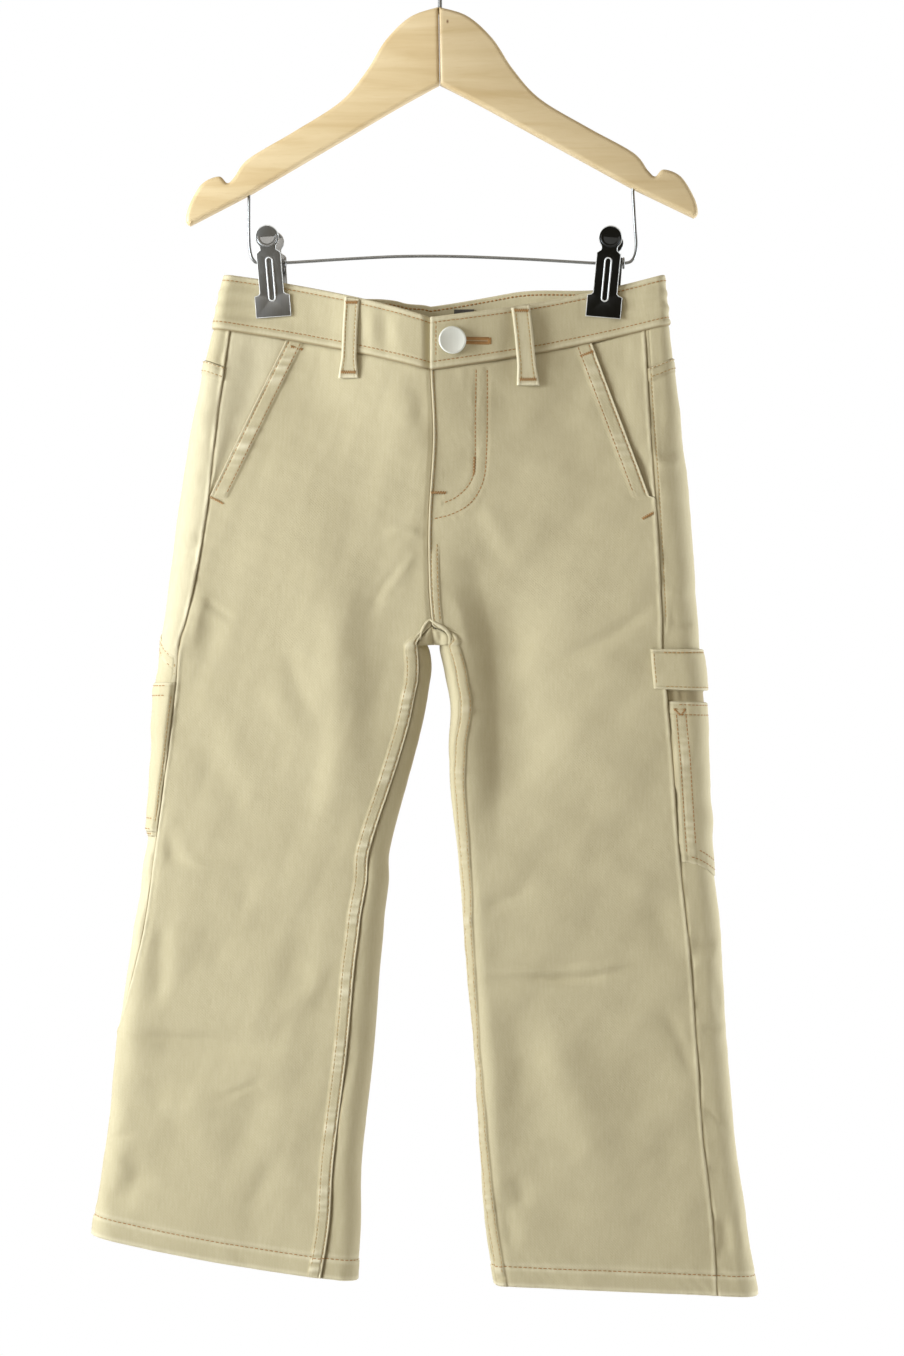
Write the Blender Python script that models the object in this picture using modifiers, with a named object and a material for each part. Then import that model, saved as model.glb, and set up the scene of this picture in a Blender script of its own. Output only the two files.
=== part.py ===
"""A child's khaki twill jeans in a carpenter cut, hanging flat from a small wooden clip hanger.

The frame: +Z up, +X to the viewer's right, the front faces -Y. The origin is the seat of the
hook, where it lies on a rail. "right" and "left" are the wearer's, so the right leg lies at -X.

The outside of the cloth is one function, cloth_point, of a side, a turn round that side's leg
and a level down it. Every panel, pocket and loop is a grid of its points, so neighbours follow
one form. Sizes are in millimetres here, and become metres when the meshes are made.
"""
import math
from collections import namedtuple
from functools import lru_cache

import bmesh
import bpy
from mathutils import Matrix, Vector

MM = 0.001

# Cloth walls and gaps
PANEL_WALL = 1.2
BAND_WALL = 2.4
HEM_WALL = 2.4
LOOP_WALL = 1.6
LABEL_WALL = 0.6
SEAM_GAP = 0.3
LAY_GAP = 0.4
BAND_RELIEF = 0.5

# How the cloth lies
CROTCH = 6
FORK = 5
FOLD_ROUND = 1.6
PINCHED = 2.6
PINCH_EASE = 1.8
PINCH_EASE_FROM = 0.7
END_LOOP = 5.0
END_LOOP_EASE = 1.5
PINCH_LEVELS = 2.2
BACK_RISE = 12.0
BACK_RISE_FROM = 0.3
BACK_RISE_LEVELS = 4.0
CLIP_X = {"right": -103.8, "left": 101.9}
CENTRE_X = -5.0

# One row for each section down a side. Outer is the fold at the hip side, inner the centre line
# down to the crotch and then the fold inside the leg. bow lifts a section's middle. front and
# back are its half depths. outseam and inseam are how far the seams lie in from the folds, on
# the front; a negative one has gone round to the back.
Section = namedtuple("Section", "outer_x outer_z inner_x inner_z bow front back outseam inseam")
SECTIONS = {
    "right": [
        Section(-135.0, -230.0, -6.0, -258.0, 3.5, 18.0, 13.0, 11.0, 0.0),   # band top
        Section(-140.0, -260.0, -6.0, -289.5, 1.0, 18.0, 13.0, 11.5, 0.0),   # waist seam
        Section(-152.2, -313.3, -4.4, -332.0, 0.0, 17.0, 14.0, 15.3, 0.0),   # pocket
        Section(-162.5, -369.5, -7.2, -382.0, 0.0, 16.0, 15.0, 18.8, 0.0),   # hip
        Section(-168.4, -416.4, -6.9, -422.6, 0.0, 15.0, 16.0, 17.2, 0.0),   # seat
        Section(-172.5, -444.5, -5.0, -447.6, 0.0, 14.0, 15.0, 15.0, 0.0),   # fork
        Section(-174.0, -460.0, -3.5, -460.0, 0.0, 13.5, 14.5, 12.2, 0.0),   # crotch
        Section(-178.1, -488.0, -6.9, -482.0, 0.0, 12.5, 13.0, 12.8, 7.5),   # thigh top
        Section(-180.6, -532.0, -17.5, -532.0, 0.0, 12.0, 12.0, 9.4, 11.9),  # thigh
        Section(-184.4, -588.0, -32.5, -594.5, 0.0, 12.0, 12.0, 6.2, 11.9),  # knee
        Section(-191.9, -644.5, -37.2, -650.8, 0.0, 12.0, 12.0, 5.9, 15.0),  # calf
        Section(-200.6, -700.8, -41.3, -713.0, 0.0, 12.0, 12.0, 0.0, 16.0),  # shin
        Section(-207.5, -763.0, -48.8, -782.0, -1.0, 12.0, 12.0, -8.0, 16.9),  # ankle
        Section(-213.4, -800.8, -49.4, -822.6, -2.0, 12.0, 12.0, -12.0, 19.0),  # cuff
        Section(-217.5, -827.6, -51.9, -856.4, -3.0, 12.0, 12.0, -16.0, 21.9),  # hem edge
    ],
    "left": [
        Section(140.0, -230.0, -6.0, -258.0, -2.5, 18.0, 13.0, 15.0, 0.0),
        Section(143.1, -260.0, -6.0, -289.5, -2.0, 18.0, 13.0, 15.0, 0.0),
        Section(150.0, -313.3, -4.4, -332.0, 0.0, 17.0, 14.0, 19.4, 0.0),
        Section(155.6, -369.5, -7.2, -382.0, 0.0, 16.0, 15.0, 21.3, 0.0),
        Section(158.8, -416.4, -6.9, -422.6, 0.0, 15.0, 16.0, 21.9, 0.0),
        Section(161.3, -444.5, -5.0, -447.6, 0.0, 14.0, 15.0, 23.1, 0.0),
        Section(162.2, -460.0, -3.5, -460.0, 0.0, 13.5, 14.5, 23.8, 0.0),
        Section(165.6, -488.0, 3.1, -482.0, 0.0, 12.5, 13.0, 24.7, 6.2),
        Section(166.9, -532.0, 6.3, -532.0, 0.0, 12.0, 12.0, 21.9, 3.1),
        Section(170.0, -588.0, 11.9, -594.5, 0.0, 12.0, 12.0, 21.0, 1.3),
        Section(175.6, -644.5, 15.9, -650.8, 0.0, 12.0, 12.0, 20.6, 0.5),
        Section(178.8, -700.8, 21.9, -713.0, 0.0, 12.0, 12.0, 19.4, 0.0),
        Section(183.8, -763.0, 25.6, -782.0, 0.0, 12.0, 12.0, 20.0, 0.5),
        Section(191.9, -819.5, 28.8, -822.6, 0.0, 12.0, 12.0, 22.0, 1.0),
        Section(198.1, -866.4, 34.4, -859.0, 0.0, 12.0, 12.0, 25.6, 1.5),
    ],
}
HEM_LEVEL = 14.0
HEM_TOP = 13.7

# The largest folds: the ends of each crest or trough, its half width and its height, negative for a trough
Fold = namedtuple("Fold", "at_back top_x top_z foot_x foot_z half_width rise")
FOLDS = [
    Fold(False, -62.0, -395.0, -96.0, -572.0, 24.0, 3.2),    # broad crest down the right thigh
    Fold(False, -22.0, -408.0, -58.0, -540.0, 9.5, -4.2),    # from the crotch down the right thigh
    Fold(False, -191.0, -704.0, -92.0, -712.0, 8.0, -2.2),   # across the right shin
    Fold(False, 3.0, -412.0, 23.0, -545.0, 6.5, 2.6),        # crest beside the left inseam
    Fold(False, 24.0, -418.0, 39.0, -552.0, 9.0, -4.0),      # from the crotch down the left thigh
    Fold(False, 28.0, -661.0, 104.0, -667.0, 8.0, -2.4),     # across the left calf
    Fold(True, -34.0, -456.0, -122.0, -486.0, 11.0, -3.6),   # under the right seat
    Fold(True, -60.0, -596.0, -158.0, -588.0, 9.0, -2.4),    # behind the right knee
    Fold(True, 22.0, -458.0, 112.0, -479.0, 12.0, -3.2),     # under the left seat
    Fold(True, 38.0, -606.0, 132.0, -618.0, 8.0, -2.6),      # behind the left knee
]

# Grids: columns run across a panel from 0 to 1, levels run down it
FRONT_COLUMNS = [0.0, 0.08, 0.18, 0.3, 0.45, 0.6, 0.72, 0.82, 0.9, 0.96, 1.0]
BACK_COLUMNS = [0.0, 0.04, 0.08, 0.12, 0.17, 0.23, 0.3, 0.36, 0.42, 0.48, 0.54, 0.62, 0.7, 0.76, 0.8,
                0.835, 0.87, 0.91, 0.95, 1.0]
LOWER_LEVELS = [3.0, 4.0, 5.0, 5.35, 5.7, 6.0, 6.35, 7.0, 8.0, 9.0, 10.0, 11.0, 12.0, 13.0,
                HEM_TOP, HEM_TOP + 0.02, HEM_LEVEL]
FRONT_LEVELS = [1.0, 1.5, 2.0, 2.5] + LOWER_LEVELS
YOKE_SEAM = 2.0
BACK_LEVELS = [YOKE_SEAM, 2.5] + LOWER_LEVELS
BAND_LEVELS = [0.0, PINCH_EASE_FROM, 1.0]
BAND_TURNS = [1.0, 0.9, 0.8, 0.72, 0.65, 0.59, 0.54, 0.49, 0.45, 0.41, 0.37, 0.33, 0.29, 0.25, 0.2, 0.15,
              0.1, 0.06, 0.03, 0.0]
UNDERLAP_TURNS = [0.95, 0.85, 0.72]
UNDERLAP_INSET = 2.8
UNDERLAP_FROM = 0.8
UNDERLAP_RAMP = 0.13
YOKE_AT_SIDE = 1.42
YOKE_AT_CENTRE = 2.0

# Front pockets: the slanted mouth's upper and lower ends, x and z
MOUTH = {"right": ((-96.3, -269.5), (-143.0, -367.6)), "left": ((95.6, -272.6), (132.5, -373.3))}
MOUTH_LEVELS = [1.0, 1.5, 2.0, 2.5, 2.85]
MOUTH_END = 2.95
FACING_LAP = 8.0
FACING_RAMP = (0.0, 0.3, 0.6, 1.0)

# Patches on the back panels, in their columns and levels
TOOL_POCKET_LEFT = {"start": 0.56, "end": 0.995, "top": 7.21, "last_row": 9.0, "foot_start": 9.35,
                    "foot_end": 9.12}
TOOL_POCKET_RIGHT_UNDER = {"start": 0.56, "end": 0.995, "top_start": 4.3, "top_end": 6.34, "bottom": 8.85}
TOOL_POCKET_RIGHT_OVER = {"start": 0.57, "end": 0.985, "top": 6.88, "bottom": 8.8}
HAMMER_LOOP = {"start": 0.56, "end": 0.995, "top": 6.13, "bottom": 7.02}
BACK_POCKET = {"start": 0.21, "end": 0.48, "top": 2.35, "last_row": 3.8, "side": 3.9, "point": 0.3}

# Belt loops: centre x, top z, bottom z, width at the top and at the foot, and whether at the back
BeltLoop = namedtuple("BeltLoop", "top_x top_z foot_x foot_z top_width foot_width at_back")
BELT_LOOPS = [
    BeltLoop(-54.0, -243.5, -56.3, -293.5, 10.6, 12.5, False),
    BeltLoop(50.0, -249.5, 54.4, -298.0, 13.8, 13.8, False),
    BeltLoop(-78.0, -239.0, -79.0, -288.0, 12.0, 12.0, True),
    BeltLoop(-5.0, -247.5, -5.0, -296.0, 12.0, 12.0, True),
    BeltLoop(80.0, -241.0, 81.0, -290.0, 12.0, 12.0, True),
]
LOOP_STAND_OFF = 1.0
LOOP_ARCH = 1.6
LOOP_ROWS = 6

# Hardware of the jeans
BUTTON_PLACE = (7.5, -271.4)
BUTTON_PROFILE = [(0.0, 2.2), (6.6, 2.3), (7.4, 2.6), (8.2, 2.3), (8.6, 1.6), (8.1, 0.9), (5.6, 0.4),
                  (4.4, 0.0), (0.0, 0.0)]
ZIP_X = 4.0
ZIP_WIDTH = 20.0
ZIP_TOP = -293.0
ZIP_BOTTOM = -378.0
ZIP_ROWS = 7
ZIP_WALL = 1.0
SLIDER_SIZE = (7.0, 3.0, 10.0)
LABEL_X = (9.0, 21.5)
LABEL_Z = (-249.5, -268.0)

# The hanger, with z from the top of the wood
WOOD_TOP = -62.0
WOOD_THICKNESS = 12.0
WOOD_EDGE = 1.5
HANGER_TILT = math.radians(-0.9)
HANGER_PIVOT = Vector((0.0, 0.0, -117.0))
UPPER_EDGE = [(17.8, -5.9), (33.4, -20.3), (45.9, -39.7), (62.5, -58.4), (91.9, -76.6), (120.0, -92.8),
              (129.0, -104.0), (133.5, -107.8), (138.8, -103.6), (149.5, -108.2), (157.6, -121.5)]
TIP = [(159.8, -131.0), (157.4, -133.8)]
LOWER_EDGE = [(119.7, -115.0), (55.9, -78.8), (23.8, -60.6)]
LOWER_CENTRE = -48.1
EDGE_STEPS = 4
HOOK_RADIUS = 1.3
HOOK_CROOK = 19.0
HOOK_SHANK_DEPTH = 20.0
HOOK_NECK = [(0.0, -30.0), (1.2, -25.5), (6.2, -19.2)]
HOOK_NECK_ANGLE = math.radians(-38.0)
HOOK_SWEEP = math.radians(238.0)
HOOK_STEPS = 24
BAR_RADIUS = 0.95
BAR_IN_WOOD = 8.0
RUNNING_GAP = 0.3
BAR_ROUTE = [(-119.4, -178.2), (-119.4, -203.0), (-118.6, -214.5), (-116.4, -219.8), (-112.5, -221.2),
             (-96.0, -221.2), (-60.0, -219.0), (-25.0, -217.3), (10.0, -217.3), (50.0, -218.8),
             (85.0, -220.8), (96.0, -221.4), (114.0, -221.6), (120.3, -219.4), (122.6, -212.0),
             (122.0, -200.0), (120.6, -177.6)]
BAR_STEPS = 4
STOP_X = {"right": -96.6, "left": 114.7}
STOP_RADIUS = 3.7
STOP_WIDTH = 1.2

# Pinch clips, with w measured up from the centre of the head's disc
CLIP_BAR = {"right": (-106.3, -221.2), "left": (104.7, -221.5)}
CLIP_LEAN = {"right": math.radians(-4.4), "left": math.radians(5.0)}
CLIP_BAR_BELOW_HEAD = 14.4
HEAD_RADIUS = 7.1
NECK_HALF = 4.9
BODY_HALF = 7.4
JAW_HALF = 10.8
NECK_W = -7.6
BODY_TOP_W = -9.6
JAW_TOP_W = -35.0
JAW_BOTTOM_W = -48.8
JAW_FLARE = 1.2
LEAF_WALL = 1.0
LEAF_BEND_W = -34.0
LEAF_SLOPE = 0.25
JAW_Y = 4.4
SLOT_HALF = 1.4
SLOT_TOP_W = -12.5
SLOT_BOTTOM_W = -38.5
EAR_TOP_W = -10.6
EAR_BOTTOM_W = -20.5
EAR_REACH = 2.2
EAR_SLANT = 2.0
EAR_WALL = 0.8
EAR_OUT = 6.6
REAR_LEAF_SHIFT = 2.0
SPRING_RADIUS = 3.6
SPRING_WIDTH = 8.0

ROUND_SIDES = 24
HOLE_REACH = 20.0
TINY = 1e-9


def smooth(t):
    """A step from 0 to 1 with level ends."""
    t = min(max(t, 0.0), 1.0)
    return t * t * (3.0 - 2.0 * t)


def spline(values, t):
    """A smooth curve through evenly spaced values, read at the index t."""
    last = len(values) - 1
    t = min(max(t, 0.0), float(last))
    i = min(int(t), last - 1)
    f = t - i
    a = values[max(i - 1, 0)]
    b = values[i]
    c = values[i + 1]
    d = values[min(i + 2, last)]
    bend = (2.0 * a - 5.0 * b + 4.0 * c - d) * f * f + (3.0 * b - a - 3.0 * c + d) * f ** 3
    return 0.5 * (2.0 * b + (c - a) * f + bend)


def smooth_path(points, steps):
    """Points along a smooth curve through the given points, steps to each stretch."""
    count = (len(points) - 1) * steps + 1
    axes = list(zip(*points))
    return [tuple(spline(axis, k / steps) for axis in axes) for k in range(count)]


# ---------------------------------------------------------------- the form of the cloth

@lru_cache(maxsize=None)
def section(side, level):
    """The section of a side at a level. The centre line and the leg's inner fold meet at the crotch."""
    rows = SECTIONS[side]
    found = {}
    for field in Section._fields:
        values = [getattr(row, field) for row in rows]
        if field not in ("inner_x", "inner_z"):
            found[field] = spline(values, level)
        elif level <= CROTCH:
            found[field] = spline(values[:CROTCH + 1], level)
        else:
            found[field] = spline(values[CROTCH:], level - CROTCH)
    return Section(**found)


def across_of(turn):
    """How far across a section, 0 at the outer fold and 1 at the inner, a turn lies."""
    return 0.5 * (1.0 - math.cos(math.pi * turn))


def turn_of(distance, width):
    """The turn of a point this far in from the outer fold, on the back when it is negative."""
    part = min(abs(distance) / width, 1.0)
    return math.copysign(math.acos(1.0 - 2.0 * part) / math.pi, distance)


def half_depth(side, level, across, on_back):
    """How far the cloth lies from the middle plane, pinched at the clips and rounded at the folds."""
    row = section(side, level)
    width = abs(row.inner_x - row.outer_x)
    full = row.back if on_back else row.front
    clip = (CLIP_X[side] - row.outer_x) / (row.inner_x - row.outer_x)
    jaw = JAW_HALF / width
    ease = smooth((level - PINCH_EASE_FROM) / (1.0 - PINCH_EASE_FROM))
    pin = PINCHED + PINCH_EASE * ease
    lobe = END_LOOP + END_LOOP_EASE * ease
    if across < clip:
        held = pin + (lobe - pin) * smooth((clip - jaw - across) / (clip - jaw))
    else:
        held = pin + (full - pin) * smooth((across - clip - jaw) / (1.0 - clip - jaw))
    hold = 1.0 - smooth((level - 1.0) / PINCH_LEVELS)
    depth = full + (held - full) * hold
    reach = FOLD_ROUND * (full + (lobe - full) * hold) / width
    outer_round = math.sqrt(1.0 - (1.0 - min(across / reach, 1.0)) ** 2)
    open_part = math.cos(0.5 * math.pi * min(max(level - FORK, 0.0), 1.0))
    near = max(0.0, (across - 1.0 + FOLD_ROUND * full / width) * width / (FOLD_ROUND * full))
    inner_round = math.sqrt(max(0.0, 1.0 - (1.0 - open_part ** 2) * near ** 2))
    return depth * outer_round * inner_round


def cloth_point(side, turn, level):
    """A point of the outside: turn 0 to 1 is the front, outer fold to inner, and 1 to 2 the back."""
    row = section(side, level)
    on_back = turn % 2.0 > 1.0
    across = across_of(turn)
    x = row.outer_x + (row.inner_x - row.outer_x) * across
    z = row.outer_z + (row.inner_z - row.outer_z) * across + row.bow * 4.0 * across * (1.0 - across)
    if on_back:
        fade = 1.0 - smooth((level - 1.0) / BACK_RISE_LEVELS)
        z += BACK_RISE * fade * smooth((across - BACK_RISE_FROM) / (1.0 - BACK_RISE_FROM))
    depth = half_depth(side, level, across, on_back)
    depth += fold_rise(x, z, on_back) * math.sin(math.pi * across)
    return Vector((x, depth if on_back else -depth, z))


def fold_rise(x, z, on_back):
    """How far the folds lift the cloth at a place. Each fades out toward both of its ends."""
    rise = 0.0
    for fold in FOLDS:
        if fold.at_back != on_back:
            continue
        run_x = fold.foot_x - fold.top_x
        run_z = fold.foot_z - fold.top_z
        length = math.hypot(run_x, run_z)
        along = ((x - fold.top_x) * run_x + (z - fold.top_z) * run_z) / length ** 2
        aside = ((x - fold.top_x) * run_z - (z - fold.top_z) * run_x) / length
        if 0.0 < along < 1.0:
            rise += fold.rise * math.sin(math.pi * along) * math.exp(-(aside / fold.half_width) ** 2)
    return rise


def cloth_normal(side, turn, level):
    """The outward normal, from points a little to each side that lie on the same face."""
    low = turn - 0.004
    high = turn + 0.004
    if level < CROTCH and turn <= 1.0:
        high = min(high, 1.0)
    elif level < CROTCH:
        low = max(low, 1.0 + TINY)
    along = cloth_point(side, high, level) - cloth_point(side, low, level)
    down = cloth_point(side, turn, level + 0.02) - cloth_point(side, turn, level - 0.02)
    normal = down.cross(along) if side == "right" else along.cross(down)
    return normal.normalized()


def outseam_turn(side, level):
    row = section(side, level)
    return turn_of(row.outseam, abs(row.inner_x - row.outer_x))


def inseam_turn(side, level):
    """Where front and back meet inside the leg; above the crotch, the centre line."""
    if level <= CROTCH:
        return 1.0
    row = section(side, level)
    return 1.0 - turn_of(row.inseam, abs(row.inner_x - row.outer_x))


def mouth_turn(side, level):
    """Where a section crosses the straight mouth of the front pocket."""
    (ax, az), (bx, bz) = MOUTH[side]
    low = 0.0
    high = 1.0
    inner = 1.0 if side == "right" else -1.0
    for _ in range(40):
        middle = 0.5 * (low + high)
        point = cloth_point(side, middle, level)
        past = ((point.x - ax) * (bz - az) - (point.z - az) * (bx - ax)) * inner
        if past < 0.0:
            high = middle
        else:
            low = middle
    return 0.5 * (low + high)


def place_on(x, z, at_back):
    """The side, turn and level of the cloth point seen at x and z."""
    side = "right" if x < CENTRE_X else "left"
    low = 0.0
    high = HEM_LEVEL
    for _ in range(40):
        level = 0.5 * (low + high)
        row = section(side, level)
        part = (x - row.outer_x) / (row.inner_x - row.outer_x)
        turn = turn_of(min(max(part, 0.0), 1.0), 1.0)
        turn = 2.0 - turn if at_back else turn
        if at_back and turn <= 1.0:
            turn = 1.0 + TINY
        if cloth_point(side, turn, level).z > z:
            low = level
        else:
            high = level
    return side, turn, level


# ---------------------------------------------------------------- grids of cloth

class Grid:
    """Rows of points and normals, with the column and level values that they stand at."""

    def __init__(self, columns, levels, points, normals):
        self.columns = columns
        self.levels = levels
        self.points = points
        self.normals = normals

    def at(self, column, level):
        """The point and normal at a place on the grid's own flat facets."""
        i, f = bracket(self.columns, column)
        j, g = bracket(self.levels, level)
        found = []
        for values in (self.points, self.normals):
            upper = values[j][i].lerp(values[j][i + 1], f)
            lower = values[j + 1][i].lerp(values[j + 1][i + 1], f)
            found.append(upper.lerp(lower, g))
        return found[0], found[1].normalized()


def bracket(values, value):
    """The stretch of a rising list that holds a value, and how far along it."""
    i = 0
    while i < len(values) - 2 and values[i + 1] < value:
        i += 1
    return i, (value - values[i]) / (values[i + 1] - values[i])


def between(values, low, high):
    """The ends and the values that lie between them."""
    return [low] + [value for value in values if low < value < high] + [high]


def grid_of(side, columns, levels, place):
    """A grid whose place function turns a column and a level into a turn and a true level."""
    points = []
    normals = []
    for level in levels:
        places = [place(column, level) for column in columns]
        points.append([cloth_point(side, turn, true_level) for turn, true_level in places])
        normals.append([cloth_normal(side, turn, true_level) for turn, true_level in places])
    return Grid(columns, levels, points, normals)


def drawn_in(points, amount):
    """The same rows with every edge moved toward the inside of the grid."""
    rows = [[point.copy() for point in row] for row in points]
    for row in rows:
        row[0] += (row[1] - row[0]).normalized() * amount
        row[-1] += (row[-2] - row[-1]).normalized() * amount
    for i in range(len(rows[0])):
        rows[0][i] += (rows[1][i] - rows[0][i]).normalized() * amount
        rows[-1][i] += (rows[-2][i] - rows[-1][i]).normalized() * amount
    return rows


def cloth_body(name, material, points, normals, walls, lift=0.0):
    """A closed wall: the rows of points lifted outward, and the same rows a wall's depth inward."""
    height = len(points)
    width = len(points[0])
    mesh = bmesh.new()
    layers = []
    for inner in (False, True):
        layer = []
        for r in range(height):
            depth = lift - (walls[r] if inner else 0.0)
            layer.append([mesh.verts.new((points[r][c] + normals[r][c] * depth) * MM)
                          for c in range(width)])
        layers.append(layer)
    outer, inner = layers
    for r in range(height - 1):
        for c in range(width - 1):
            for layer in layers:
                mesh.faces.new((layer[r][c], layer[r][c + 1], layer[r + 1][c + 1], layer[r + 1][c]))
    rim = [(r, 0) for r in range(height)] + [(height - 1, c) for c in range(1, width)]
    rim += [(r, width - 1) for r in range(height - 2, -1, -1)] + [(0, c) for c in range(width - 2, -1, -1)]
    for (r0, c0), (r1, c1) in zip(rim, rim[1:]):
        mesh.faces.new((outer[r0][c0], outer[r1][c1], inner[r1][c1], inner[r0][c0]))
    return add_body(name, mesh, material)


def even_wall(rows, wall):
    return [wall] * len(rows)


def panel_walls(levels):
    """The wall at each level, doubled where the hem is turned up."""
    return [HEM_WALL if level > HEM_TOP else PANEL_WALL for level in levels]


# ---------------------------------------------------------------- scene helpers

def clear_scene():
    for obj in list(bpy.data.objects):
        bpy.data.objects.remove(obj, do_unlink=True)


def new_collection(name):
    collection = bpy.data.collections.new(name)
    bpy.context.scene.collection.children.link(collection)
    return collection


def linear(value):
    """A screen value from 0 to 255 as a linear one."""
    part = value / 255.0
    return part / 12.92 if part <= 0.04045 else ((part + 0.055) / 1.055) ** 2.4


def new_material(name, colour, roughness, metallic=0.0):
    material = bpy.data.materials.new(name)
    material.use_nodes = True
    shader = material.node_tree.nodes["Principled BSDF"]
    shader.inputs["Base Color"].default_value = (*[linear(value) for value in colour], 1.0)
    shader.inputs["Roughness"].default_value = roughness
    shader.inputs["Metallic"].default_value = metallic
    return material


def twill(name):
    return new_material(name, (206, 192, 156), 0.85)


def steel(name):
    return new_material(name, (120, 122, 122), 0.25, 1.0)


def wood(name):
    return new_material(name, (224, 200, 158), 0.5)


def add_body(name, mesh, material):
    """A bmesh as a named object of the model."""
    bmesh.ops.recalc_face_normals(mesh, faces=mesh.faces)
    data = bpy.data.meshes.new(name)
    mesh.to_mesh(data)
    mesh.free()
    data.materials.append(material)
    data.shade_smooth()
    data.set_sharp_from_angle(angle=math.radians(40.0))
    obj = bpy.data.objects.new(name, data)
    MODEL.objects.link(obj)
    return obj


def mesh_of_curve(curve):
    """A curve's evaluated surface as a closed bmesh, its caps welded on."""
    obj = bpy.data.objects.new("curve", curve)
    MODEL.objects.link(obj)
    bpy.context.view_layer.update()
    graph = bpy.context.evaluated_depsgraph_get()
    data = bpy.data.meshes.new_from_object(obj.evaluated_get(graph))
    bpy.data.objects.remove(obj, do_unlink=True)
    mesh = bmesh.new()
    mesh.from_mesh(data)
    bmesh.ops.remove_doubles(mesh, verts=mesh.verts, dist=0.00001)
    return mesh


def flat_plate(outlines, thickness, edge=0.0):
    """A plate in the XZ plane from closed outlines, the inner ones being holes."""
    curve = bpy.data.curves.new("outline", "CURVE")
    curve.dimensions = "2D"
    curve.fill_mode = "BOTH"
    curve.extrude = (0.5 * thickness - edge) * MM
    curve.bevel_depth = edge * MM
    curve.bevel_resolution = 1
    curve.offset = -edge * MM
    for outline in outlines:
        path = curve.splines.new("POLY")
        path.points.add(len(outline) - 1)
        path.use_cyclic_u = True
        for point, (x, z) in zip(path.points, outline):
            point.co = (x * MM, z * MM, 0.0, 1.0)
    mesh = mesh_of_curve(curve)
    mesh.transform(Matrix.Rotation(math.radians(90.0), 4, "X"))
    return mesh


def wire(name, material, route, radius):
    """A round wire along a list of points."""
    curve = bpy.data.curves.new(name, "CURVE")
    curve.dimensions = "3D"
    curve.bevel_depth = radius * MM
    curve.bevel_resolution = 2
    curve.use_fill_caps = True
    path = curve.splines.new("POLY")
    path.points.add(len(route) - 1)
    for point, place in zip(path.points, route):
        point.co = (*[value * MM for value in place], 1.0)
    return add_body(name, mesh_of_curve(curve), material)


def turned(name, material, profile, matrix, closed):
    """A body turned about its own z from rows of radius and height."""
    data = bpy.data.meshes.new(name)
    count = len(profile)
    edges = [(i, i + 1) for i in range(count - 1)]
    if closed:
        edges.append((count - 1, 0))
    data.from_pydata([(radius * MM, 0.0, height * MM) for radius, height in profile], edges, [])
    obj = bpy.data.objects.new(name, data)
    MODEL.objects.link(obj)
    screw = obj.modifiers.new("turn", "SCREW")
    screw.steps = ROUND_SIDES
    screw.render_steps = ROUND_SIDES
    screw.use_merge_vertices = True
    screw.merge_threshold = 0.00001
    screw.use_smooth_shade = False
    data.materials.append(material)
    obj.matrix_world = matrix
    return obj


def hidden(name, mesh):
    """A bmesh as an object that only cuts or joins another."""
    data = bpy.data.meshes.new(name)
    mesh.to_mesh(data)
    mesh.free()
    obj = bpy.data.objects.new(name, data)
    CUTTERS.objects.link(obj)
    obj.hide_render = True
    obj.display_type = "WIRE"
    return obj


def cutter_rod(name, start, end, radius):
    """A hidden round bar between two places, to cut a hole with."""
    start = Vector(start) * MM
    end = Vector(end) * MM
    mesh = bmesh.new()
    bmesh.ops.create_cone(mesh, cap_ends=True, segments=ROUND_SIDES, radius1=radius * MM,
                          radius2=radius * MM, depth=(end - start).length)
    turn = (end - start).to_track_quat("Z", "Y").to_matrix().to_4x4()
    mesh.transform(Matrix.Translation(0.5 * (start + end)) @ turn)
    return hidden(name, mesh)


def cut(obj, cutter, operation="DIFFERENCE"):
    boolean = obj.modifiers.new(cutter.name, "BOOLEAN")
    boolean.operation = operation
    boolean.solver = "EXACT"
    boolean.object = cutter


# ---------------------------------------------------------------- the jeans

def front_panel(side):
    """From the side seam, or the pocket mouth above it, to the centre line and the inseam."""
    def place(column, level):
        start = outseam_turn(side, level)
        if level < MOUTH_END:
            start = mouth_turn(side, level)
        return start + column * (inseam_turn(side, level) - start), level

    grid = grid_of(side, FRONT_COLUMNS, FRONT_LEVELS, place)
    points = drawn_in(grid.points, 0.5 * SEAM_GAP)
    cloth_body("front_" + side, twill("front_" + side), points, grid.normals, panel_walls(FRONT_LEVELS))


def pocket_facing(side):
    """The cloth behind the slanted mouth: flush at the side seam, then under the front panel."""
    under = PANEL_WALL + LAY_GAP
    columns = [0.0, 1.0, 2.0, 3.0, 4.0]

    def place(column, level):
        row = section(side, level)
        width = abs(row.inner_x - row.outer_x)
        start = outseam_turn(side, level)
        mouth = mouth_turn(side, level)
        if column == columns[-1]:
            return turn_of(across_of(mouth) * width + FACING_LAP, width), level
        return start + FACING_RAMP[int(column)] * (mouth - start), level

    grid = grid_of(side, columns, MOUTH_LEVELS, place)
    points = drawn_in(grid.points, 0.5 * SEAM_GAP)
    for row, normals in zip(points, grid.normals):
        for column, normal in zip(columns, normals):
            row[int(column)] -= normal * under * min(column * 0.5, 1.0)
    name = "pocket_facing_" + side
    cloth_body(name, twill(name), points, grid.normals, even_wall(MOUTH_LEVELS, PANEL_WALL))


def yoke_level(across):
    """The level of the seam under the yoke, lower toward the centre back."""
    return YOKE_AT_SIDE + (YOKE_AT_CENTRE - YOKE_AT_SIDE) * across


def back_place(side, column, level):
    start = max(inseam_turn(side, level), 1.0 + TINY) if level <= CROTCH else inseam_turn(side, level)
    end = 2.0 + outseam_turn(side, level)
    return start + column * (end - start)


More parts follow.
